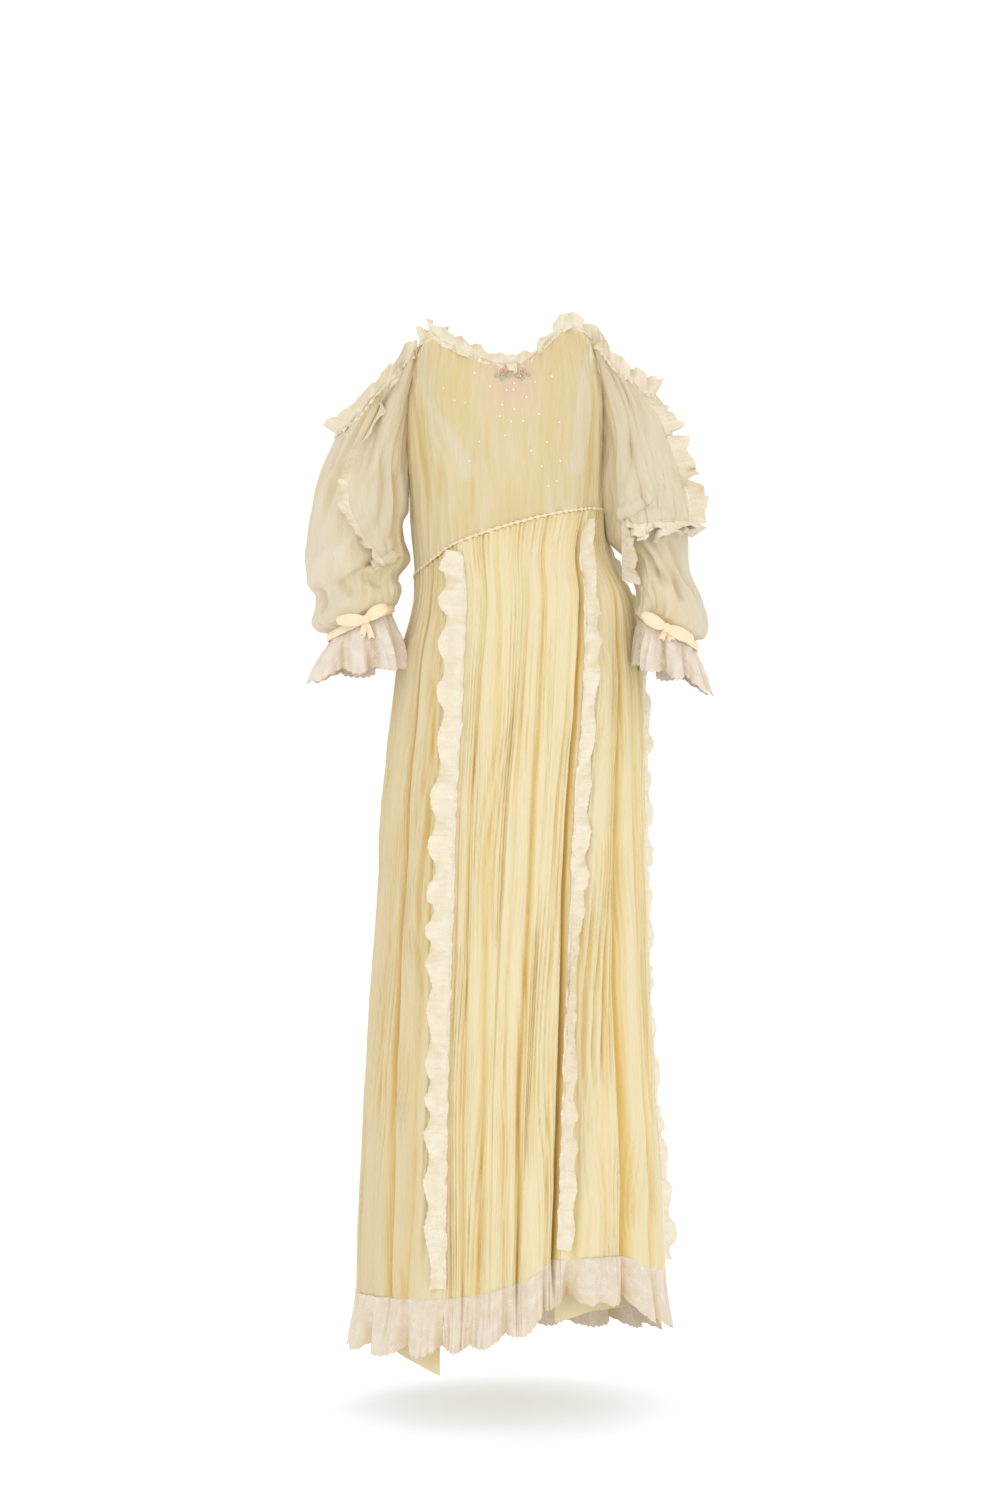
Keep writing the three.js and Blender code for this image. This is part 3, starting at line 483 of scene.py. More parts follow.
def sleeve_grid(side):
    """The sleeve's gauze, its normals, the places of its rows and how far each point is lifted."""
    turns = np.arange(TURNS) * 360 / TURNS
    tab = SLEEVE[side]
    rings = sleeve_rings(side)
    knots = [sleeve_top(side, turns)]
    for k in range(len(tab["z"])):
        knots.append(on_sleeve({name: col[k] for name, col in tab.items()}, side, turns))
    places = np.linspace(0, rings[-1], SLEEVE_ROWS)
    grid = np.stack([smooth(rings, np.stack(knots), p) for p in places])
    centre = sleeve_centre(side)
    n = facing(normals(grid, True), grid, centre)
    across, down = turns[None, :] * TURN_LENGTH, places[:, None]
    lines = [(a * TURN_LENGTH, d, b * TURN_LENGTH, e, w, deep) for a, d, b, e, w, deep in SLEEVE_CREASES[side]]
    seed = 60 if side == "right" else 80
    away_from_top = 1 - np.exp(-down / 6)
    gathers = np.exp(-down / 34) * 2.4 * noise(seed, across / 5.5, down / 60)
    cuffed = np.exp(-(rings[-1] - down) / 16) * 2.6 * noise(seed + 1, across / 6, down / 40)
    pinch = np.exp(-(((down - rings[ARM_RING]) / 14) ** 2)) * 2.4 * noise(seed + 2, across / 7, down / 40)
    soft = 3.2 * noise(seed + 3, across / 26 + down / 90, down / 70) * away_from_top
    crinkle = 1.5 * noise(seed + 4, across / 7 + 0.6 * noise(seed + 5, across / 30, down / 30), down / 38)
    tiny = 0.5 * noise(seed + 6, across / 3.2, down / 12)
    # The side towards the body bulges and hides the way between the arm and the body
    from_body = np.abs((turns[None, :] + 180) % 360 - 180)
    near_body = np.exp(-((from_body / 34) ** 2))
    z = grid[..., 2]
    closed = ease(z, -165, -150) + (1 - ease(z, -236, -214)) if side == "right" else 1
    at_armhole = np.exp(-(((from_body - 50) / 17) ** 2) - ((down - 40) / 42) ** 2)
    lift = (6.0 * near_body * closed + 5.0 * at_armhole) * away_from_top
    lift = lift + creases(across, down, lines) * away_from_top
    lift = lift + gathers + cuffed + pinch + soft + crinkle + tiny - 0.6
    grid = grid + n * lift[..., None]
    return grid, facing(normals(grid, True), grid, centre), places, lift


def sample(grid, n, places, rings, turn, ring, off):
    """Points off millimetres above a sleeve's gauze, at turns and rings."""
    place = np.interp(ring, np.arange(len(rings)), rings)
    r = np.clip(np.interp(place, places, np.arange(len(places))), 0, len(places) - 1.001)
    c = (turn % 360) / 360 * TURNS
    r0, c0 = np.floor(r).astype(int), np.floor(c).astype(int)
    tr, tc = (r - r0)[..., None], (c - c0)[..., None]

    def mixed(a):
        c1 = (c0 + 1) % TURNS
        top = a[r0, c0 % TURNS] * (1 - tc) + a[r0, c1] * tc
        low = a[r0 + 1, c0 % TURNS] * (1 - tc) + a[r0 + 1, c1] * tc
        return top * (1 - tr) + low * tr

    return mixed(grid) + mixed(n) * np.asarray(off)[..., None]


FRILL_STEPS = 36  # points along one wave of a frill
FRILL_LOOP = 0.28  # how far the crests slide along the path, as a share of their swing


def frill(
    path, normal, away, width, waves, swing, seed, stand=0.3, both=False, twist=0.3, rows=9, scallop=1.1, zig=0.12
):
    """A gathered strip sewn along a path. Its free edge is longer than the path, so it waves, curls and twists."""
    length = np.concatenate([[0], np.cumsum(np.linalg.norm(np.diff(path, axis=0), axis=1))])
    s = np.linspace(0, length[-1], int(waves * FRILL_STEPS * DRAFT) + 1)

    def along(a):
        return np.stack([np.interp(s, length, a[:, k]) for k in range(3)], -1)

    root, n, out = along(path), along(normal), along(away)
    n /= np.linalg.norm(n, axis=1, keepdims=True)
    out /= np.linalg.norm(out, axis=1, keepdims=True)
    tangent = np.gradient(root, axis=0)
    tangent /= np.linalg.norm(tangent, axis=1, keepdims=True)
    u = s / length[-1]
    phase = 2 * math.pi * waves * u + 2.6 * noise(seed, u * waves * 0.55)
    own = swing * (0.85 + 0.7 * noise(seed + 1, u * waves * 0.5))
    theta = stand + twist * noise(seed + 2, u * waves * 0.4)
    theta = theta if both else np.maximum(theta, 0.06)
    across_dir = np.cos(theta)[:, None] * out + np.sin(theta)[:, None] * n
    wave_dir = np.cos(theta)[:, None] * n - np.sin(theta)[:, None] * out
    wide = (width(u) if callable(width) else width) * (1 + 0.14 * noise(seed + 3, u * waves * 0.7))
    wide = wide * (0.5 + 0.5 * ease(u * length[-1], 0, 22))
    wide = wide * (1 + zig * np.sin(phase + 0.9 + 1.5 * noise(seed + 7, u * waves * 0.4)))
    edge = scallop * np.abs(np.sin(math.pi * s / 7.5))
    swell = np.sin(phase) + 0.25 * np.sin(2.3 * phase + 1)
    swell = swell if both else 0.55 + 0.5 * swell
    gathers = noise(seed + 8, s / 2.4)
    slant = 0.5 + 0.5 * noise(seed + 10, s / 11)
    grid, deep = [], []
    for a in np.linspace(0, 1, rows):
        reach = (wide * a + edge * a**5)[:, None] * across_dir
        pleat = 1.1 * gathers * math.sin(math.pi * min(1, a * 1.25))
        flutter = 2.0 * noise(seed + 4, s / 9, a * 2.0) * a
        wave = (own * swell * a**0.85 + pleat + flutter)[:, None] * wave_dir
        slide = 1.4 * noise(seed + 9, s / 12, a) * a - FRILL_LOOP * own * np.sin(2 * phase) * a
        slide = slide[:, None] * tangent
        grid.append(root + reach + wave + slide)
        # Painted shade: darker on the waves' backs, at the root and along slanting creases
        shade = (0.26 - 0.26 * np.sin(phase)) * a**0.5 + 0.18 * math.exp(-a / 0.2)
        deep.append(shade + 0.3 * slant * valley(s / 15 + 0.7 * a + slant) - 0.1 * gathers)
    return np.stack(grid), np.clip(np.stack(deep), 0, 1)


def frills(*made):
    """The grids of several frills, and the painted shade of each point in them."""
    return [grid for grid, _ in made], np.concatenate([deep.ravel() for _, deep in made])


def everywhere(vector, like):
    """One direction for every point of a path."""
    return np.broadcast_to(np.array(vector, float), like.shape)


def softened(path, reach):
    """A path or its directions, averaged over reach points to either side."""
    kernel = np.ones(2 * reach + 1) / (2 * reach + 1)
    padded = np.pad(path, ((reach, reach), (0, 0)), mode="edge")
    return np.stack([np.convolve(padded[:, k], kernel, "valid") for k in range(3)], -1)


def wrist(side, share):
    """The oval between the sleeve's last ring but one and the cuff's second, a share of the way down."""
    return {k: col[-2] + (CUFF[side][k][1] - col[-2]) * share for k, col in SLEEVE[side].items()}


def standing(surface, *place, lift):
    """Points lifted off a surface, and the way out from it there."""
    root = surface(*place, lift)
    return root, surface(*place, lift + 1) - root


# ---------------------------------------------------------------- meshes


def mesh_of(name, grids, loops=False, attributes=()):
    """One mesh from one or several grids of points, with UVs in metres of cloth and float attributes."""
    grids = grids if isinstance(grids, list) else [grids]
    points, corners, uvs = [], [], []
    start = 0
    for grid in grids:
        rows, cols = grid.shape[:2]
        points.append(grid.reshape(-1, 3))
        step_u = np.linalg.norm(np.diff(grid, axis=1), axis=-1).mean(0)
        u = np.concatenate([[0], np.cumsum(step_u)])
        v = np.concatenate([[0], np.cumsum(np.linalg.norm(np.diff(grid, axis=0), axis=-1).mean(1))])
        spans = cols if loops else cols - 1
        r, c = np.meshgrid(np.arange(rows - 1), np.arange(spans), indexing="ij")
        nxt = (c + 1) % cols
        quad = np.stack([r * cols + c, (r + 1) * cols + c, (r + 1) * cols + nxt, r * cols + nxt], -1)
        corners.append(quad.reshape(-1, 4) + start)
        u_next = np.append(u[1:], u[-1] + step_u.mean()) if loops else u[1:]
        edges = (u[:spans], u_next[:spans], v[:-1, None], v[1:, None])
        uu, un, vv, vn = (np.broadcast_to(edge, (rows - 1, spans)) for edge in edges)
        uvs.append(np.stack([uu, vv, uu, vn, un, vn, un, vv], -1).reshape(-1, 4, 2))
        start += rows * cols
    points = np.concatenate(points).astype(np.float32) * MM
    corners = np.concatenate(corners).astype(np.int32)
    mesh = bpy.data.meshes.new(name)
    mesh.vertices.add(len(points))
    mesh.vertices.foreach_set("co", points.ravel())
    mesh.loops.add(corners.size)
    mesh.loops.foreach_set("vertex_index", corners.ravel())
    mesh.polygons.add(len(corners))
    mesh.polygons.foreach_set("loop_start", np.arange(0, corners.size, 4, dtype=np.int32))
    mesh.polygons.foreach_set("use_smooth", np.ones(len(corners), bool))
    layer = mesh.uv_layers.new(name="cloth")
    layer.data.foreach_set("uv", (np.concatenate(uvs) * MM).astype(np.float32).ravel())
    for key, value in dict(attributes).items():
        mesh.attributes.new(key, "FLOAT", "POINT").data.foreach_set("value", value.astype(np.float32).ravel())
    mesh.update()
    mesh.validate()
    return mesh


def in_scene(name, data):
    made = bpy.data.objects.new(name, data)
    bpy.context.scene.collection.objects.link(made)
    return made


def piece(name, grids, material, slot, nodes=(), flat=None, held="hung", rests_on=(), loops=False, **attributes):
    made = in_scene(name, mesh_of(name, grids, loops, attributes))
    made.data.materials.append(material)
    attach(made, "root")
    if nodes:
        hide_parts(*nodes)


# ---------------------------------------------------------------- materials


def srgb(r, g, b):
    def line(c):
        c = c / 255
        return c / 12.92 if c <= 0.04045 else ((c + 0.055) / 1.055) ** 2.4

    return (line(r), line(g), line(b), 1)


class Nodes:
    """A material's nodes, made and linked with few words."""

    def __init__(self, name):
        self.material = bpy.data.materials.new(name)
        self.material.use_nodes = True
        self.tree = self.material.node_tree
        self.shader = self.tree.nodes["Principled BSDF"]

    def put(self, socket, value):
        if isinstance(value, bpy.types.NodeSocket):
            self.tree.links.new(value, socket)
        else:
            socket.default_value = value

    def add(self, kind, inputs=(), **settings):
        node = self.tree.nodes.new(kind)
        for key, value in settings.items():
            setattr(node, key, value)
        for key, value in dict(inputs).items():
            self.put(node.inputs[key], value)
        return node

    def link(self, value, key):
        self.tree.links.new(value, self.shader.inputs[key])

    def uv(self, across, along, seed=0.0):
        source = self.add("ShaderNodeUVMap", uv_map="cloth").outputs[0]
        inputs = {"Vector": source, "Scale": (across, along, 1), "Location": (seed, seed * 0.7, 0)}
        return self.add("ShaderNodeMapping", inputs).outputs[0]

    def noise(self, vector, detail=2.0, rough=0.5, distortion=0.0):
        inputs = {"Vector": vector, "Scale": 1.0, "Detail": detail, "Roughness": rough, "Distortion": distortion}
        return self.add("ShaderNodeTexNoise", inputs).outputs["Fac"]

    def math(self, operation, a, b=0.0, c=0.0):
        return self.add("ShaderNodeMath", {0: a, 1: b, 2: c}, operation=operation).outputs[0]

    def ramp(self, value, *stops):
        node = self.add("ShaderNodeValToRGB", {"Fac": value})
        elements = node.color_ramp.elements
        while len(elements) < len(stops):
            elements.new(0.5)
        for element, (place, color) in zip(elements, stops):
            element.position = place
            element.color = color
        return node.outputs["Color"]

    def mix(self, share, a, b, blend="MIX"):
        inputs = {0: share, 6: a, 7: b}
        return self.add("ShaderNodeMix", inputs, data_type="RGBA", blend_type=blend).outputs[2]

    def attribute(self, name):
        return self.add("ShaderNodeAttribute", attribute_name=name).outputs["Fac"]

    def finish(self, roughness, sheen, specular, sheen_roughness=0.5, alpha=1.0):
        values = {"Roughness": roughness, "Sheen Weight": sheen, "Sheen Roughness": sheen_roughness}
        values["Specular IOR Level"] = specular
        if not self.shader.inputs["Alpha"].is_linked:
            values["Alpha"] = alpha
        for key, value in values.items():
            self.shader.inputs[key].default_value = value
        return self.material


BLACK, WHITE = (0, 0, 0, 1), (1, 1, 1, 1)
NET_ALPHA = 0.95
CLOTH_BUMP = 0.0012


def bumped(m, height, strength, distance):
    node = m.add("ShaderNodeBump", {"Height": height, "Strength": strength, "Distance": distance})
    m.link(node.outputs[0], "Normal")


def gauze(name, *colors, alpha=1.0):
    """Crinkled gauze with fine crinkles along the cloth: its own pale colour where it stands out, golden painted shade
    where it sinks and in streaks along it, and painted shade in the crinkles' grooves.
    """
    ridge, middle, trough, side = (srgb(*color) for color in colors)
    m = Nodes(name)
    crinkle = m.noise(m.uv(420, 26), 3, 0.6, 0.6)
    shade_streak = m.noise(m.uv(95, 7, 3.0), 2, 0.5)
    # Painted shade: the sunk attribute, with streaks along the cloth, picks the golden trough colour as the shade in
    # the folds
    depth = m.math("ADD", m.attribute("sunk"), m.math("MULTIPLY", m.math("SUBTRACT", shade_streak, 0.5), 0.35))
    color = m.ramp(depth, (0.0, ridge), (0.42, middle), (1.0, trough))
    # The fourth tone, mixed in by the second attribute: the cloth's own tint, and painted side light and shade
    color = m.mix(m.attribute("cream"), color, side)
    # Painted shade in the crinkles: darker where the crinkle bump is low
    crinkle_shade = m.ramp(crinkle, (0.3, (0.9, 0.88, 0.82, 1)), (0.62, WHITE))
    m.link(m.mix(0.5, color, crinkle_shade, "MULTIPLY"), "Base Color")
    height = m.math("ADD", crinkle, m.math("MULTIPLY", m.noise(m.uv(1500, 160, 5.0), 2), 0.3))
    bumped(m, height, 0.55, CLOTH_BUMP)
    return m.finish(0.95, 0.02, 0.05, alpha=alpha)


def lace(name, *colors):
    """Off-white net with small embroidered five-petalled sprigs in rows, with painted shade in the hollows of its
    folds.
    """
    color, shade, hollow, thick = (srgb(*color) for color in colors + ((242, 234, 220),))
    m = Nodes(name)
    place = m.uv(64, 64)
    cells = m.add("ShaderNodeTexVoronoi", {"Vector": place, "Scale": 1.0, "Randomness": 0.35})
    away = m.add("ShaderNodeVectorMath", {0: place, 1: cells.outputs["Position"]}, operation="SUBTRACT").outputs[0]
    split = m.add("ShaderNodeSeparateXYZ", {0: away})
    angle = m.math("ARCTAN2", split.outputs[1], split.outputs[0])
    petals = m.math("MULTIPLY_ADD", m.math("COSINE", m.math("MULTIPLY", angle, 5.0)), 0.12, 0.26)
    sprig = m.math("LESS_THAN", cells.outputs["Distance"], petals)
    net = m.add("ShaderNodeTexVoronoi", {"Vector": m.uv(420, 420, 2.0), "Scale": 1.0}, feature="DISTANCE_TO_EDGE")
    thread = m.ramp(net.outputs["Distance"], (0.05, WHITE), (0.2, (NET_ALPHA,) * 3 + (1,)))
    m.link(m.mix(sprig, thread, WHITE), "Alpha")
    tone = m.ramp(m.noise(m.uv(60, 60, 1.0), 3), (0.3, BLACK), (0.7, WHITE))
    base = m.mix(tone, color, shade)
    # Painted shade: the deep attribute turns the lace towards its hollow colour in folds and near the root
    base = m.mix(m.ramp(m.attribute("deep"), (0.3, BLACK), (1.0, WHITE)), base, hollow)
    m.link(m.mix(m.math("MULTIPLY", sprig, 0.3), base, thick), "Base Color")
    height = m.math("ADD", m.math("MULTIPLY", sprig, 0.7), m.math("MULTIPLY", thread, 0.3))
    bumped(m, height, 0.5, CLOTH_BUMP)
    return m.finish(0.9, 0.1, 0.15)


def satin(name, color, shade):
    m = Nodes(name)
    weave = m.noise(m.uv(900, 60), 2)
    m.link(m.mix(m.noise(m.uv(90, 20, 4.0), 2), srgb(*color), srgb(*shade)), "Base Color")
    bumped(m, weave, 0.15, 0.0005)
    return m.finish(0.33, 0.15, 0.5, 0.4)


def plain(name, color, shade, roughness=0.75, scale=70):
    m = Nodes(name)
    m.link(m.mix(m.noise(m.uv(scale, scale), 3), srgb(*color), srgb(*shade)), "Base Color")
    bumped(m, m.noise(m.uv(1200, 1200, 2.0), 2), 0.2, 0.0004)
    return m.finish(roughness, 0.1, 0.25)


def glint(name, color, shade):
    m = Nodes(name)
    m.link(m.mix(m.noise(m.uv(300, 300)), srgb(*color), srgb(*shade)), "Base Color")
    return m.finish(0.2, 0, 0.8)


# Gauze colours: ridge, middle, a golden trough that is painted shade, and a fourth tone: the cloth's own pink on the
# bodice, painted side light and shade on the skirt and sleeves
SKIRT_GAUZE = gauze("skirt gauze", (233, 219, 180), (230, 211, 159), (227, 196, 121), (213, 196, 160))
BODICE_COLORS = (237, 225, 194), (233, 216, 170), (222, 199, 138), (238, 210, 190)
BODICE_GAUZE = gauze("bodice gauze", *BODICE_COLORS, alpha=0.76)
SLEEVE_COLORS = (234, 222, 192), (228, 212, 170), (216, 193, 134), (224, 214, 197)
SLEEVE_GAUZE = gauze("sleeve gauze", *SLEEVE_COLORS, alpha=0.9)
YELLOW_LINING = plain("bodice lining", (236, 214, 122), (230, 204, 104))
UNDERSKIRT = plain("underskirt", (240, 224, 184), (230, 210, 166), 0.6)
# Lace colours: its own two tones and a hollow colour that is painted shade
HEM_LACE = lace("hem lace", (230, 217, 198), (220, 205, 182), (208, 184, 140))
WHITE_LACE = lace("ruffle lace", (238, 229, 208), (229, 217, 192), (214, 192, 146))
CUFF_LACE = lace("cuff lace", (233, 221, 206), (223, 209, 191), (206, 184, 152))
RIBBON_SATIN = satin("ribbon satin", (250, 232, 198), (240, 216, 178))
PIPING_CLOTH = plain("waist piping", (240, 222, 186), (236, 212, 180), 0.8, 200)
ROSE_SATIN = satin("rose satin", (247, 220, 208), (240, 202, 190))
LEAF_CLOTH = plain("leaf ribbon", (188, 188, 160), (170, 173, 144), 0.6, 200)
SEQUIN = glint("sequin", (255, 252, 240), (252, 246, 226))

# ---------------------------------------------------------------- bodice


def bodice_grid(first, last, columns, rows):
    degs = np.linspace(first, last, columns)[None, :]
    share = np.linspace(0, 1, rows)[:, None]
    top, low = neck_z(degs), waist(degs) + 0.2
    z = top + (low - top) * share
    lift = 0.4 + 0.9 * noise(51, degs / 2.6 + 0.5 * noise(52, degs / 9, z / 40), z / 62)
    lift = lift + 0.5 * noise(53, degs / 1.3, z / 26) + 1.2 * noise(54, degs / 14, z / 80)
    gather = np.exp(-(1 - share) * 9) * 1.3 * noise(55, degs / 1.6, z / 30)
    under_ruffle = np.exp(-share * 14) * 1.0 * noise(56, degs / 2.2, z / 20)
    creased = creases(degs * 2.1, z, BODICE_CREASES)
    lift = lift + gather + under_ruffle + creased
    return bodice(degs, z, np.maximum(lift, -1.2)), degs, z, lift


BODICE_CREASES = [
    (-150, 30, -120, -190, 6, -3.2), (-120, 40, -98, -150, 7, -2.4), (-160, -60, -150, -190, 5, -2.6),
    (-100, -40, -76, -180, 6, 2.0), (-60, -80, -50, -170, 7, -1.6), (130, 30, 112, -150, 6, -3.0),
    (150, -20, 142, -150, 6, -2.6), (104, 40, 92, -120, 7, 1.8), (170, -40, 168, -150, 5, -2.4),
    (230, 20, 236, -170, 7, -2.6), (290, 20, 300, -180, 8, -2.2), (350, 30, 344, -180, 8, -2.4),
    (410, 20, 402, -170, 7, -2.6), (470, 20, 480, -180, 8, -2.4), (530, 10, 526, -190, 7, -2.6),
]


# White lace lines on the lining, seen through the gauze: their middle line as angle and height
LACE_LINES = {
    "right": [(-60, 62), (-55, 30), (-47, -10), (-36, -50), (-26, -85), (-24, -120)],
    "left": [(62, 70), (56, 40), (50, 10), (46, -25), (47, -60), (44, -110)],
}
for place, first, last, columns, flat in (
    ("front", -90, 90, 360, (0.37, 0.27)),
    ("back", 90, 270, 300, (0.33, 0.26)),
):
    grid, degs, z, lift = bodice_grid(first, last, count(columns), count(130))
    # Painted shade: more golden where the gauze lies low in its creases and towards the sides; paler along the lace
    # lines seen through it
    low = 0.35 - lift * 0.13 + 0.25 * ease(np.abs(degs), 48, 84)
    for line in LACE_LINES.values() if place == "front" else ():
        line = np.array(line, float)
        middle = np.interp(-z, -line[:, 1], line[:, 0])
        on_line = np.exp(-(((degs - middle) / 4.6) ** 2)) * ease(-z, -line[0, 1], 14 - line[0, 1])
        low = low - 0.42 * on_line * (1 - ease(-z, -line[-1, 1] - 14, -line[-1, 1]))
    pink = 0.75 * np.exp(-(((degs - 5) / 16) ** 2) - ((z - 8) / 34) ** 2)
    pink = np.broadcast_to(pink if place == "front" else np.zeros_like(pink), grid.shape[:2])
    name, nodes, low = f"gauze_bodice_{place}", [f"bodice_{place}"], np.clip(low, 0, 1)
    piece(name, grid, BODICE_GAUZE, "chiffon", nodes, flat, "stretched", sunk=low, cream=pink)

# The yellow lining covers less of the torso: from 2 mm under the neckline to 1 mm over the waist line
for place, first, last, flat in (("front", -62, 62, (0.27, 0.25)), ("back", 118, 242, (0.22, 0.23))):
    degs = np.linspace(first, last, count(150))[None, :]
    share = np.linspace(0.02, 1, count(60))[:, None]
    top, low = neck_z(degs) - 2, waist(degs) + 1
    grid = bodice(degs, top + (low - top) * share, -BODICE_LINING_INSET)
    piece(f"lining_bodice_{place}", grid, YELLOW_LINING, "lining", (), flat, "stretched")

for side, line in LACE_LINES.items():
    line = np.array(line, float)
    s = np.linspace(0, 1, count(70))
    knots = np.linspace(0, 1, len(line))
    deg, z = smooth(knots, line[:, 0], s), smooth(knots, line[:, 1], s)
    across = np.linspace(-1, 1, 9)[:, None]
    edge = 4.2 + 0.7 * np.abs(np.sin(s * 60))[None, :]
    strip = bodice(deg[None, :] + across * edge, z[None, :] + across * 3, -2.2 + 0.3 * np.abs(across))
    name, flat, shade = f"lace_line_{side}", (0.19, 0.02), np.zeros(strip.shape[:2])
    piece(name, strip, WHITE_LACE, "lace", (), flat, "laid", ["lining_bodice_front"], deep=shade)

# ---------------------------------------------------------------- skirt

PANELS = (
    ("front", 0, 9, (0.30, 0.98)),
    ("side_left", 9, 14, (0.25, 0.98)),
    ("back_left", 14, 23, (0.42, 1.02)),
    ("back_right", 23, 31, (0.35, 1.02)),
    ("side_right", 31, 40, (0.37, 1.02)),
)
FLOUNCE_SHARE = 0.9  # a flounce's flat width against its panel's
FLOUNCE_FLAT = 0.07
downs = np.linspace(0, 1, count(104)) ** 1.12
for name, first, last, flat in PANELS:
    gauze_name = f"gauze_skirt_{name}"
    folds = np.linspace(first + SEAM_GAP, last - SEAM_GAP, count((last - first) * 30))
    grid, depth = skirt_grid(folds, downs)
    # Painted shade: the gauze turns golden with its depth in the folds and on steep fold walls
    step = np.linalg.norm(np.gradient(grid, axis=1)[..., :2], axis=-1)
    steep = ease(np.abs(np.gradient(depth, axis=1)) / step, 0.4, 0.95)
    low = np.clip(depth / 15 - 0.08 + 0.45 * steep, 0, 1)
    # A greyer tone painted over the wearer's right side as side shade, less in the folds, with random mottling in the
    # cloth's own tone
    cream = 0.75 * ease(-grid[..., 0], 40, 175) + 0.12 * noise(61, folds[None, :] * 0.7, downs[:, None] * 3)
    cream = np.clip(cream, 0, 1) * (1 - 0.6 * low)
    piece(gauze_name, grid, SKIRT_GAUZE, "chiffon", [f"skirt_{name}"], flat, "gathered", sunk=low, cream=cream)
    folds = np.linspace(first + SEAM_GAP, last - SEAM_GAP, count((last - first) * 34))
    grid, deep = flounce_grid(folds, np.linspace(0, 1, count(26)))
    node, flat = f"hem_flounce_{name}", (flat[0] * FLOUNCE_SHARE, FLOUNCE_FLAT)
    piece(f"lace_{node}", grid, HEM_LACE, "lace", [node], flat, "gathered", [gauze_name], deep=deep)

GORES = ("front_left", "back_left", "back_right", "front_right")
grid = lining_grid(np.linspace(19, 328, count(300)), np.linspace(0, 1, count(60)))
nodes = [f"underskirt_{gore}" for gore in GORES]
piece("lining_underskirt", grid, UNDERSKIRT, "lining", nodes, (0.88, 1.07), "hung")

# The gathered cord over the waist seam
CORD = dict(deep=0.9, high=1.9)
degs = np.linspace(-90, 270, count(900), endpoint=False)
lumps = 1 + 0.42 * np.sin(degs * 1.5 + 2 * noise(71, degs / 7)) + 0.2 * noise(72, degs * 0.9)
seam, outward = standing(bodice, degs, waist(degs) + 1.8, lift=2.0)
ahead = np.roll(seam, -1, 0) - np.roll(seam, 1, 0)
ahead /= np.linalg.norm(ahead, axis=1, keepdims=True)
upward = np.cross(outward, ahead)
rings = []
for a in np.radians(np.arange(0, 361, 45)):
    out, rise = CORD["deep"] * lumps * math.cos(a), CORD["high"] * lumps * math.sin(a)
    rings.append(seam + out[:, None] * outward + rise[:, None] * upward)
piece("gathered_waist_piping", np.stack(rings), PIPING_CLOTH, "satin", ["waist_piping"], loops=True)

# ---------------------------------------------------------------- sleeves

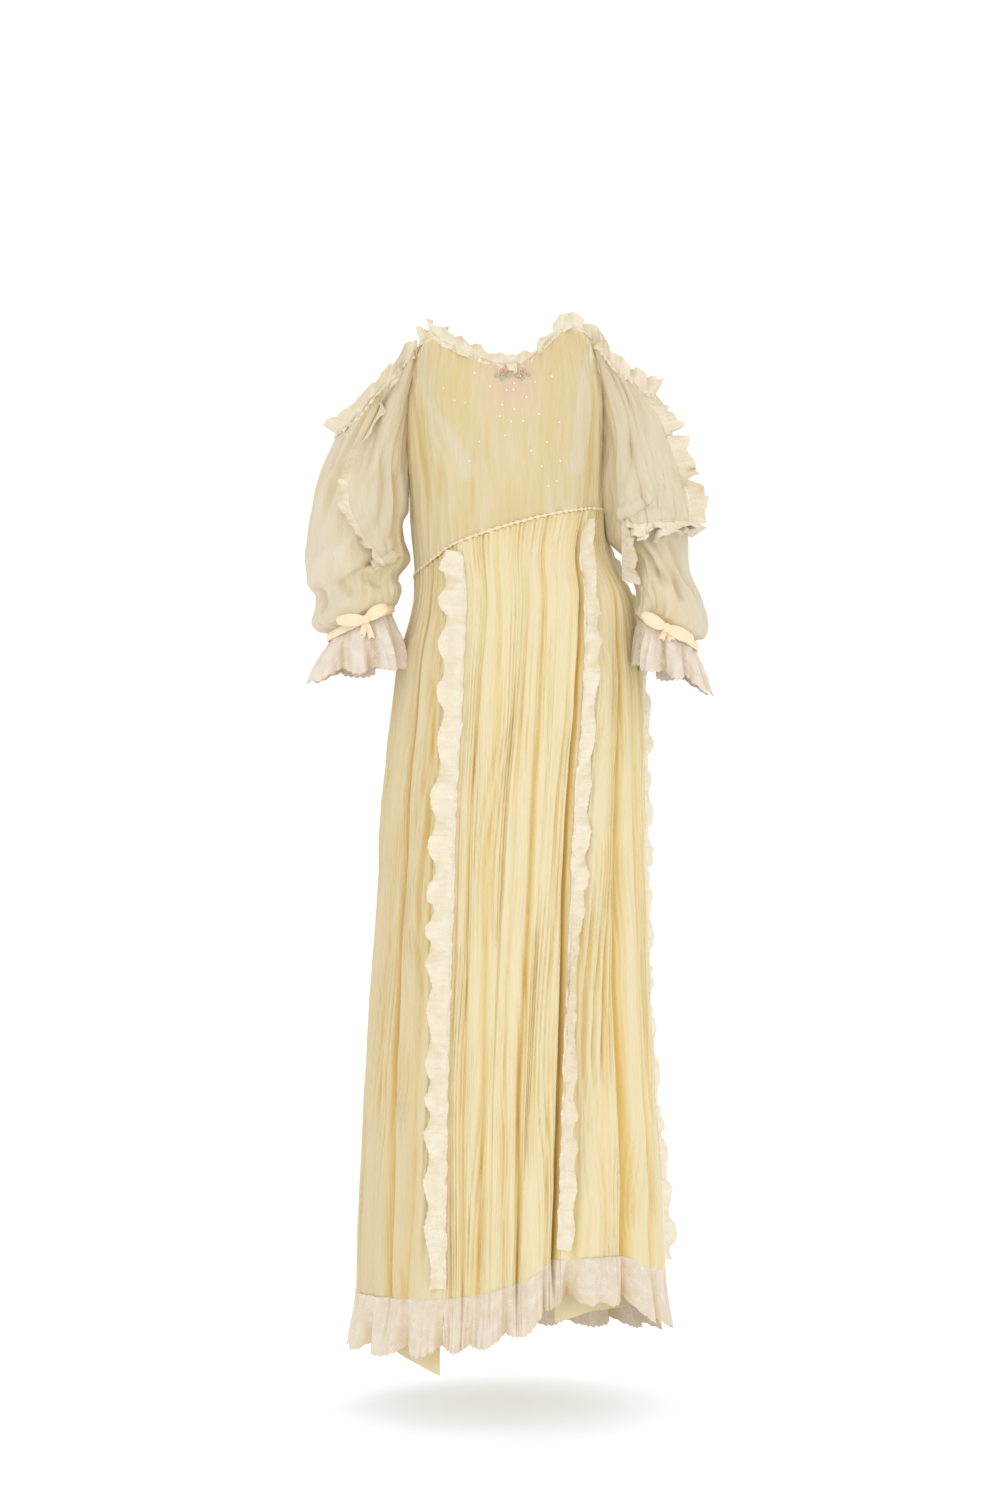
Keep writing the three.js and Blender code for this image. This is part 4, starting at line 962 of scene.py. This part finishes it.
# For each sleeve: the flat sizes of its flap, flap lace and cuff, the flap lace's width and waves, the seed of its
# shoulder lace and the phase of its cuff's waves
SLEEVE_TRIM = {
    "right": dict(flap=(0.062, 0.24), lace=(0.30, 0.022), cuff=(0.46, 0.066), width=15, waves=8, seed=130, phase=0),
    "left": dict(flap=(0.11, 0.21), lace=(0.56, 0.026), cuff=(0.42, 0.064), width=23, waves=14, seed=150, phase=1),
}
FLAP_LACE_END = (156.0, -52.0, -246.0)
for side, trim in SLEEVE_TRIM.items():
    sleeve = [f"gauze_sleeve_{side}"]
    grid, n, places, lift = sleeve_grid(side)
    rings = sleeve_rings(side)
    # Painted shade: more golden where the gauze lies low in its creases and just under the top edge
    low = np.clip(0.32 - lift * 0.07 + 0.3 * np.exp(-places / 10)[:, None], 0, 1)
    turns = np.arange(TURNS)[None, :]
    # Painted light and shade: a paler tone on the sleeve's outer side, the side towards the body left golden, with
    # random tone
    outer_side_light = np.exp(-(((turns * 360 / TURNS - 170) / 62) ** 2))
    pale = np.clip(0.2 + 0.6 * outer_side_light + 0.2 * noise(91, turns / 30, places[:, None] / 60), 0, 1)
    look = dict(loops=True, sunk=low, cream=pale)
    piece(sleeve[0], grid, SLEEVE_GAUZE, "chiffon", [f"sleeve_{side}"], (0.40, 0.34), "gathered", **look)

    # The loose upper layer, a little above the sleeve
    r = np.linspace(0, 4, count(80))[:, None]
    share = np.linspace(0, 1, count(60))[None, :]
    ring, start, edge, off = (at(FLAP[side], "row", r, key) for key in ("ring", "start", "edge", "off"))
    turn = start + (edge - start) * share
    wavy = 1.6 * noise(95, turn / 7, r * 1.4) * ease(share, 0.05, 0.4)
    off = np.maximum(1.4 + off + wavy, 1.0)
    flap = sample(grid, n, places, rings, turn, np.broadcast_to(ring, turn.shape), off)
    # Painted shade: more golden where the flap's waves sink
    low = np.clip(0.25 - 0.1 * wavy, 0, 1)
    name, nodes, look = f"gauze_flap_{side}", [f"sleeve_flap_{side}"], dict(sunk=low, cream=low + 0.2)
    piece(name, flap, SLEEVE_GAUZE, "chiffon", nodes, trim["flap"], "draped", sleeve, **look)

    # The lace on its edge. The left one runs on along the bottom and hangs down from the inner corner.
    flap_n = facing(normals(flap), flap, sleeve_centre(side))
    path, path_n = flap[:, -1], flap_n[:, -1]
    away = np.gradient(flap, axis=1)[:, -1]
    away = away / np.linalg.norm(away, axis=1, keepdims=True)
    if side == "left":
        bottom, bottom_n = flap[-1, ::-1][3:], flap_n[-1, ::-1][3:]
        hanging = np.linspace(bottom[-1], FLAP_LACE_END, 20)[1:]
        path = np.concatenate([path, bottom, hanging])
        path_n = np.concatenate([path_n, bottom_n, everywhere((0, -1, 0), hanging)])
        away = [away, everywhere((0.1, -0.2, -1), bottom), everywhere((0.95, -0.1, -0.3), hanging)]
        away = softened(np.concatenate(away), 4)
    width, waves = trim["width"], trim["waves"]
    made = frill(path + path_n * 0.5, path_n, away, width, waves, 6.5, 100 + waves, stand=0.42, twist=0.5)
    grids, deep = frills(made)
    nodes = [f"flap_ruffle_{side}"]
    piece(f"lace_flap_{side}", grids, WHITE_LACE, "lace", nodes, trim["lace"], "gathered", [name], deep=deep)

    # The lace cuff: deep uneven waves that open towards a scalloped edge
    turns = np.arange(count(420)) * 360 / count(420)
    around = np.radians(turns)
    phase = around * 8 + 1.1 * np.sin(around * 2 + trim["phase"]) + 0.8 * np.sin(around * 3 + 2)
    crest = 0.5 + 0.5 * np.cos(phase)
    rows, deep = [], []
    for d in np.linspace(0, 3, count(34)):
        section = {k: smooth(np.arange(4.0), col, d) for k, col in CUFF[side].items()}
        open_share = ease(d, 0.4, 3)
        small = np.sin(around * 27 + 2 * d)
        swell = section["fold"] * (1 - crest) * (1 + 0.3 * np.sin(around * 5 + 1)) - 5 * open_share * crest
        swell = swell + 2.2 * open_share * small
        fine = 1.4 * noise(111, turns / 4, d * 1.5) * (0.3 + open_share)
        row = on_sleeve(section, side, turns, 1.5 - swell + fine)
        scallop = 2.2 * np.abs(np.sin(around * 24)) * ease(d, 2.4, 3)
        row[:, 2] -= 0.3 + open_share * (4 * noise(112, around * 5 / math.pi, 0.4) + 9 * crest - 5) + scallop
        rows.append(row)
        # Painted shade: darker in the waves' troughs and just below the top
        deep.append((1 - crest) * (0.35 + 0.5 * open_share) + 0.4 * np.exp(-d / 0.3) + 0.12 * small)
    name, look = f"lace_cuff_{side}", dict(loops=True, deep=np.clip(np.stack(deep), 0, 1))
    piece(name, np.stack(rows), CUFF_LACE, "lace", [f"cuff_{side}"], trim["cuff"], "gathered", sleeve, **look)

    # The ribbon round the cuff
    turns = np.arange(count(240)) * 360 / count(240)
    rows = []
    for share in np.linspace(0.0, 1.0, 9):
        pucker = 0.7 * noise(121, turns / 4, share * 1.5)
        section = wrist(side, 0.1 + 0.75 * share)
        rows.append(on_sleeve(section, side, turns, 2.8 + 1.2 * math.sin(math.pi * share) + pucker))
    grid, nodes = np.stack(rows), [f"cuff_ribbon_{side}"]
    ribbon = f"satin_ribbon_{side}"
    piece(ribbon, grid, RIBBON_SATIN, "satin", nodes, (0.26, 0.014), "stretched", [name], loops=True)

    # Lace standing on the sleeve's top edge, and its casing below
    over = np.linspace(47, 309, 210)
    root = softened(sleeve_top(side, over), 6)
    sin, cos = sin_cos(over)
    outward = np.stack([INWARD[side] * cos, -sin, 0 * over], -1)
    root, up, seed = root - outward * 0.5, everywhere(UP, root), trim["seed"]
    grids, deep = frills(
        frill(root, outward, up, 18, 11, 8.5, seed, stand=0.45, both=True, twist=0.8, zig=0.2),
        frill(root, outward, -up, 7, 30, 2.2, seed + 5, stand=0.25, twist=0.2, scallop=0.8),
    )
    name, nodes = f"lace_shoulder_{side}", [f"shoulder_ruffle_{side}"]
    piece(name, grids, WHITE_LACE, "lace", nodes, (0.5, 0.025), "gathered", sleeve, deep=deep)

# ---------------------------------------------------------------- ruffles of the neckline and skirt
for place, first, last, waves, seed, flat in (
    ("front", -71, 71, 12, 160, (0.47, 0.026)),
    ("back", 110, 250, 10, 170, (0.42, 0.026)),
):
    degs = np.linspace(first, last, 260)
    root, outward = standing(bodice, degs, neck_z(degs), lift=0.3)
    up = everywhere(UP, root)
    made = [
        frill(root, outward, up, 17, waves, 9.0, seed, stand=0.5, both=True, twist=0.8, zig=0.2),
        frill(root, outward, -up, 7, waves, 2.0, seed + 5, stand=0.25, twist=0.2, scallop=0.8),
    ]
    if place == "front":  # the lace's end that falls between the rosebuds
        root, outward = standing(bodice, np.linspace(0.5, 6.5, 30), np.full(30, 38.0), lift=2.2)
        made.append(frill(root, outward, -up[:30] + 0.3 * outward, 17, 2.5, 3.0, 176, stand=0.3, twist=0.2))
    grids, deep = frills(*made)
    name, nodes, on = f"lace_neck_{place}", [f"neck_ruffle_{place}"], [f"gauze_bodice_{place}"]
    piece(name, grids, WHITE_LACE, "lace", nodes, flat, "gathered", on, deep=deep)

# The skirt's ruffles: the fold they are sewn at, the side they lie to, their waves, swing and width down the seam
# in mm, how steeply they stand, seed, flat size and the panel below them
SEAM_RUFFLES = (
    ("front_right", 0, -1, 16, 6.5, lambda u: 25 - 6 * ease(u, 0.6, 1), 0.22, 180, (1.2, 0.03), "front"),
    ("front_left", 9, 1, 16, 7.5, lambda u: 17 - 3 * u, 0.6, 190, (1.25, 0.022), "front"),
    ("side_left", 14, 1, 18, 5.5, lambda u: 12 + 8 * ease(u, 0.6, 0.95), 0.16, 200, (1.1, 0.017), "side_left"),
    ("side_right", 31, -1, 18, 5.5, lambda u: 17 + 0 * u, 0.2, 210, (1.1, 0.018), "side_right"),
)
for place, fold, sign, waves, swing, width, stand, seed, flat, under in SEAM_RUFFLES:
    in_front = place.startswith("front")
    path, normal = [], []
    seam_fold = np.array([fold + (0.02 if fold == 0 else -0.02)])
    for d in np.linspace(0.012, 0.985, 400):
        on_gauze, _ = skirt_row(seam_fold, d)
        z = on_gauze[:, 2]
        oval = (skirt_section(z, np.full_like(z, d)), seam_angle(seam_fold, d), z)
        outward = on_oval(*oval, 1.0) - on_oval(*oval, 0.0)
        path.append((on_gauze + (0.9 if in_front else 0.2) * outward)[0])
        normal.append(outward[0])
    path, normal = np.array(path), np.array(normal)
    away = np.cross(normal, np.array(UP)) * -sign
    twist = 0.7 if place == "front_left" else 0.35
    made = [frill(path, normal, away, width, waves, swing, seed, stand=stand, twist=twist, zig=0.15)]
    if in_front:  # the narrow edge on the seam's other side
        inner = dict(stand=0.12, twist=0.1, scallop=0.5, rows=4)
        made.append(frill(path, normal, -away, 4.5, waves, 1.2, seed + 6, **inner))
    grids, deep = frills(*made)
    name, nodes, on = f"lace_skirt_{place}", [f"skirt_ruffle_{place}"], [f"gauze_skirt_{under}"]
    piece(name, grids, WHITE_LACE, "lace", nodes, flat, "gathered", on, deep=deep)

# ---------------------------------------------------------------- bows, rosebuds and sequins

BOWS = {
    "right": dict(turn=78, loops=[(40, 11, 172), (34, 11, -38)], tails=[(28, 8, 75), (24, 8, 105)]),
    "left": dict(turn=84, loops=[(38, 11, 205), (40, 11, 22)], tails=[(20, 8, 66), (18, 8, 112)]),
}


def turned(points, deg):
    """Turned in the XZ plane, from the wearer's left towards down."""
    c, s = math.cos(math.radians(deg)), math.sin(math.radians(deg))
    x, y, z = points[..., 0], points[..., 1], points[..., 2]
    return np.stack([x * c + z * s, y, -x * s + z * c], -1)


def bow_grids(spec, seed):
    """A bow's loops, tails and knot, flat to the XZ plane. A loop or tail has a length, a width and a direction."""
    grids = []
    t = np.linspace(0, 1, 41)
    bulge = np.sin(2 * math.pi * t) * (0.35 + 0.65 * np.sin(math.pi * t))
    share = (1 - np.cos(2 * math.pi * t)) / 2
    for long, tall, deg in spec["loops"]:
        reach = long * share
        rows = []
        for a in np.linspace(-1, 1, 9):
            width = tall * 0.62 * (0.26 + 0.86 * np.sin(0.93 * math.pi * share**0.85) ** 0.8 + 0.24 * share)
            crimp = 1.1 * noise(seed, t * 7, a * 2.5) * (1 - share) + 0.9 * np.cos(a * 5 + share * 2) * share
            y = -6.5 * bulge + crimp + 0.6 * a * a
            rows.append(np.stack([reach - 2.5 * a * a * share, y, a * width - 2.5 * share**2], -1))
        grids.append(turned(np.stack(rows), deg))
    t = np.linspace(0, 1, 21)
    for long, tall, deg in spec["tails"]:
        rows = []
        for a in np.linspace(-1, 1, 7):
            width = tall / 2 * (0.35 + 0.65 * ease(t, 0, 0.4))
            notch = 3.0 * (1 - abs(a)) * ease(t, 0.9, 1)
            rows.append(np.stack([long * t - notch, 2.2 * np.sin(t * 5 + a * 0.4) - 1.0, a * width], -1))
        grids.append(turned(np.stack(rows), deg))
    a, b = np.meshgrid(np.linspace(0, math.pi, 13), np.linspace(0, 2 * math.pi, 21), indexing="ij")
    lump = 1 + 0.12 * np.sin(b * 5 + a * 2)
    knot = np.stack([5.2 * np.sin(a) * np.cos(b) * lump, 4.4 * np.sin(a) * np.sin(b), 6.4 * np.cos(a)], -1)
    return grids + [knot]


def placed(grids, root, normal):
    """Grids made at the origin, facing the front, moved to a root and turned to face along its normal."""
    turn = np.array(Vector((0, -1, 0)).rotation_difference(Vector(normal)).to_matrix())
    return [g @ turn.T + np.asarray(root) for g in grids]


for side, bow in BOWS.items():
    spot = standing(on_sleeve, wrist(side, 0.5), side, float(bow["turn"]), lift=6.2)
    piece(f"satin_bow_{side}", placed(bow_grids(bow, 220), *spot), RIBBON_SATIN, "satin", [f"bow_{side}"])

ROSEBUD_DEG = {"right": -1.2, "left": 10.1}
ROSEBUD_Z = 26.0
for side, deg in ROSEBUD_DEG.items():
    t = np.linspace(0, 1, 90)
    spiral = 2 * math.pi * 2.6 * t
    radius = 0.8 + 4.9 * t
    rows = []
    for a in np.linspace(0, 1, 6):
        flare = radius * (0.78 + 0.3 * a * a) * (1 + 0.08 * np.sin(spiral * 2.5))
        rows.append(np.stack([flare * np.cos(spiral), -1.0 - (3.4 - 1.4 * t) * a, flare * np.sin(spiral)], -1))
    bud, leaves = [np.stack(rows)], []
    for tilt in (35, 145, 98):
        s = np.linspace(0, 1, 15)
        rows = []
        for a in np.linspace(-1, 1, 5):
            wide = 2.6 * np.sin(math.pi * s) ** 0.8 * a
            rows.append(np.stack([4 + 9.5 * s, -1.2 - 0.6 * (1 - abs(a)) - 1.2 * np.sin(math.pi * s), wide], -1))
        leaves.append(turned(np.stack(rows), tilt))
    spot = standing(bodice, deg, ROSEBUD_Z, lift=1.4)
    piece(f"rosebud_bloom_{side}", placed(bud, *spot), ROSE_SATIN, "rosebud", [f"rosebud_{side}"])
    piece(f"rosebud_leaves_{side}", placed(leaves, *spot), LEAF_CLOTH, "rosebud")

# Sequins sewn on the bodice, by how far to the wearer's left and how high they are
SEQUINS = [
    (-40, 24), (-78, 5), (-64, -12), (-51, -15), (12, 10), (11, 2), (2, 1), (39, 12), (-7, -33), (12, -24),
    (24, -39), (55, -66), (-49, -91), (66, -117), (55, -124), (-20, 6), (28, -8), (44, -30), (0, -58), (34, -78),
    (-34, -66), (70, -40), (-4, -18), (60, 20), (8, -40), (47, -98), (20, 20), (72, -90),
]
SEQUIN_RADIUS = 1.1
a = np.radians(np.arange(0, 361, 45))
disc = [
    np.stack([r * np.cos(a), 0 * a - 0.4 * (1 - r / SEQUIN_RADIUS), r * np.sin(a)], -1)
    for r in (0.05, 0.6, SEQUIN_RADIUS)
]
discs = []
for x, z in SEQUINS:
    deg = math.degrees(math.asin(x / (at(BODICE, "z", float(z), "half") + 4)))
    discs += placed([np.stack(disc)], *standing(bodice, deg, float(z), lift=2.6))
piece("sequins", discs, SEQUIN, "satin")

# ---------------------------------------------------------------- floor, light and camera

FLOOR_Z, FLOOR_HALF = -1.36, 9
mesh = bpy.data.meshes.new("floor")
corners = [(x * FLOOR_HALF, y * FLOOR_HALF, FLOOR_Z) for x, y in ((-1, -1), (1, -1), (1, 1), (-1, 1))]
mesh.from_pydata(corners, [], [(0, 1, 2, 3)])
floor = in_scene("floor", mesh)
paper = bpy.data.materials.new("paper")
paper.use_nodes = True
look = {"Base Color": (0.55, 0.55, 0.55, 1), "Roughness": 1, "Emission Color": WHITE, "Emission Strength": 0.5}
for key, value in look.items():
    paper.node_tree.nodes["Principled BSDF"].inputs[key].default_value = value
mesh.materials.append(paper)

world = bpy.data.worlds.new("studio")
world.use_nodes = True
world.node_tree.nodes["Background"].inputs["Color"].default_value = WHITE
world.node_tree.nodes["Background"].inputs["Strength"].default_value = 1.05
bpy.context.scene.world = world
bpy.context.scene.view_settings.view_transform = "Standard"


def lamp(name, place, aim, size, power):
    data = bpy.data.lights.new(name, "AREA")
    data.shape = "RECTANGLE"
    data.size, data.size_y = size
    data.energy = power
    lit = in_scene(name, data)
    lit.location = place
    lit.rotation_euler = (Vector(aim) - Vector(place)).to_track_quat("-Z", "Y").to_euler()


lamp("key", (-1.2, -3.9, 1.2), (0, 0, -0.6), (2.2, 2.4), 12)
lamp("fill", (2.2, -3.6, 0.3), (0, 0, -0.6), (2.2, 2.4), 6)
lamp("back", (1.5, 3.4, 1.8), (0, 0, -0.4), (2.0, 2.0), 24)

# The photograph's frame: its height in pixels, the size of a pixel at the gown's middle, and where the camera stands
PHOTO_HIGH = 1499
PIXEL = 1.35
CAMERA = (-6.75, -4500, -471.8)
SENSOR = 36
lens = bpy.data.cameras.new("camera")
lens.sensor_width = SENSOR
lens.lens = SENSOR * -CAMERA[1] / (PHOTO_HIGH * PIXEL)
camera = in_scene("camera", lens)
camera.location = [v * MM for v in CAMERA]
camera.rotation_euler = (math.radians(90), 0, 0)
bpy.context.scene.camera = camera
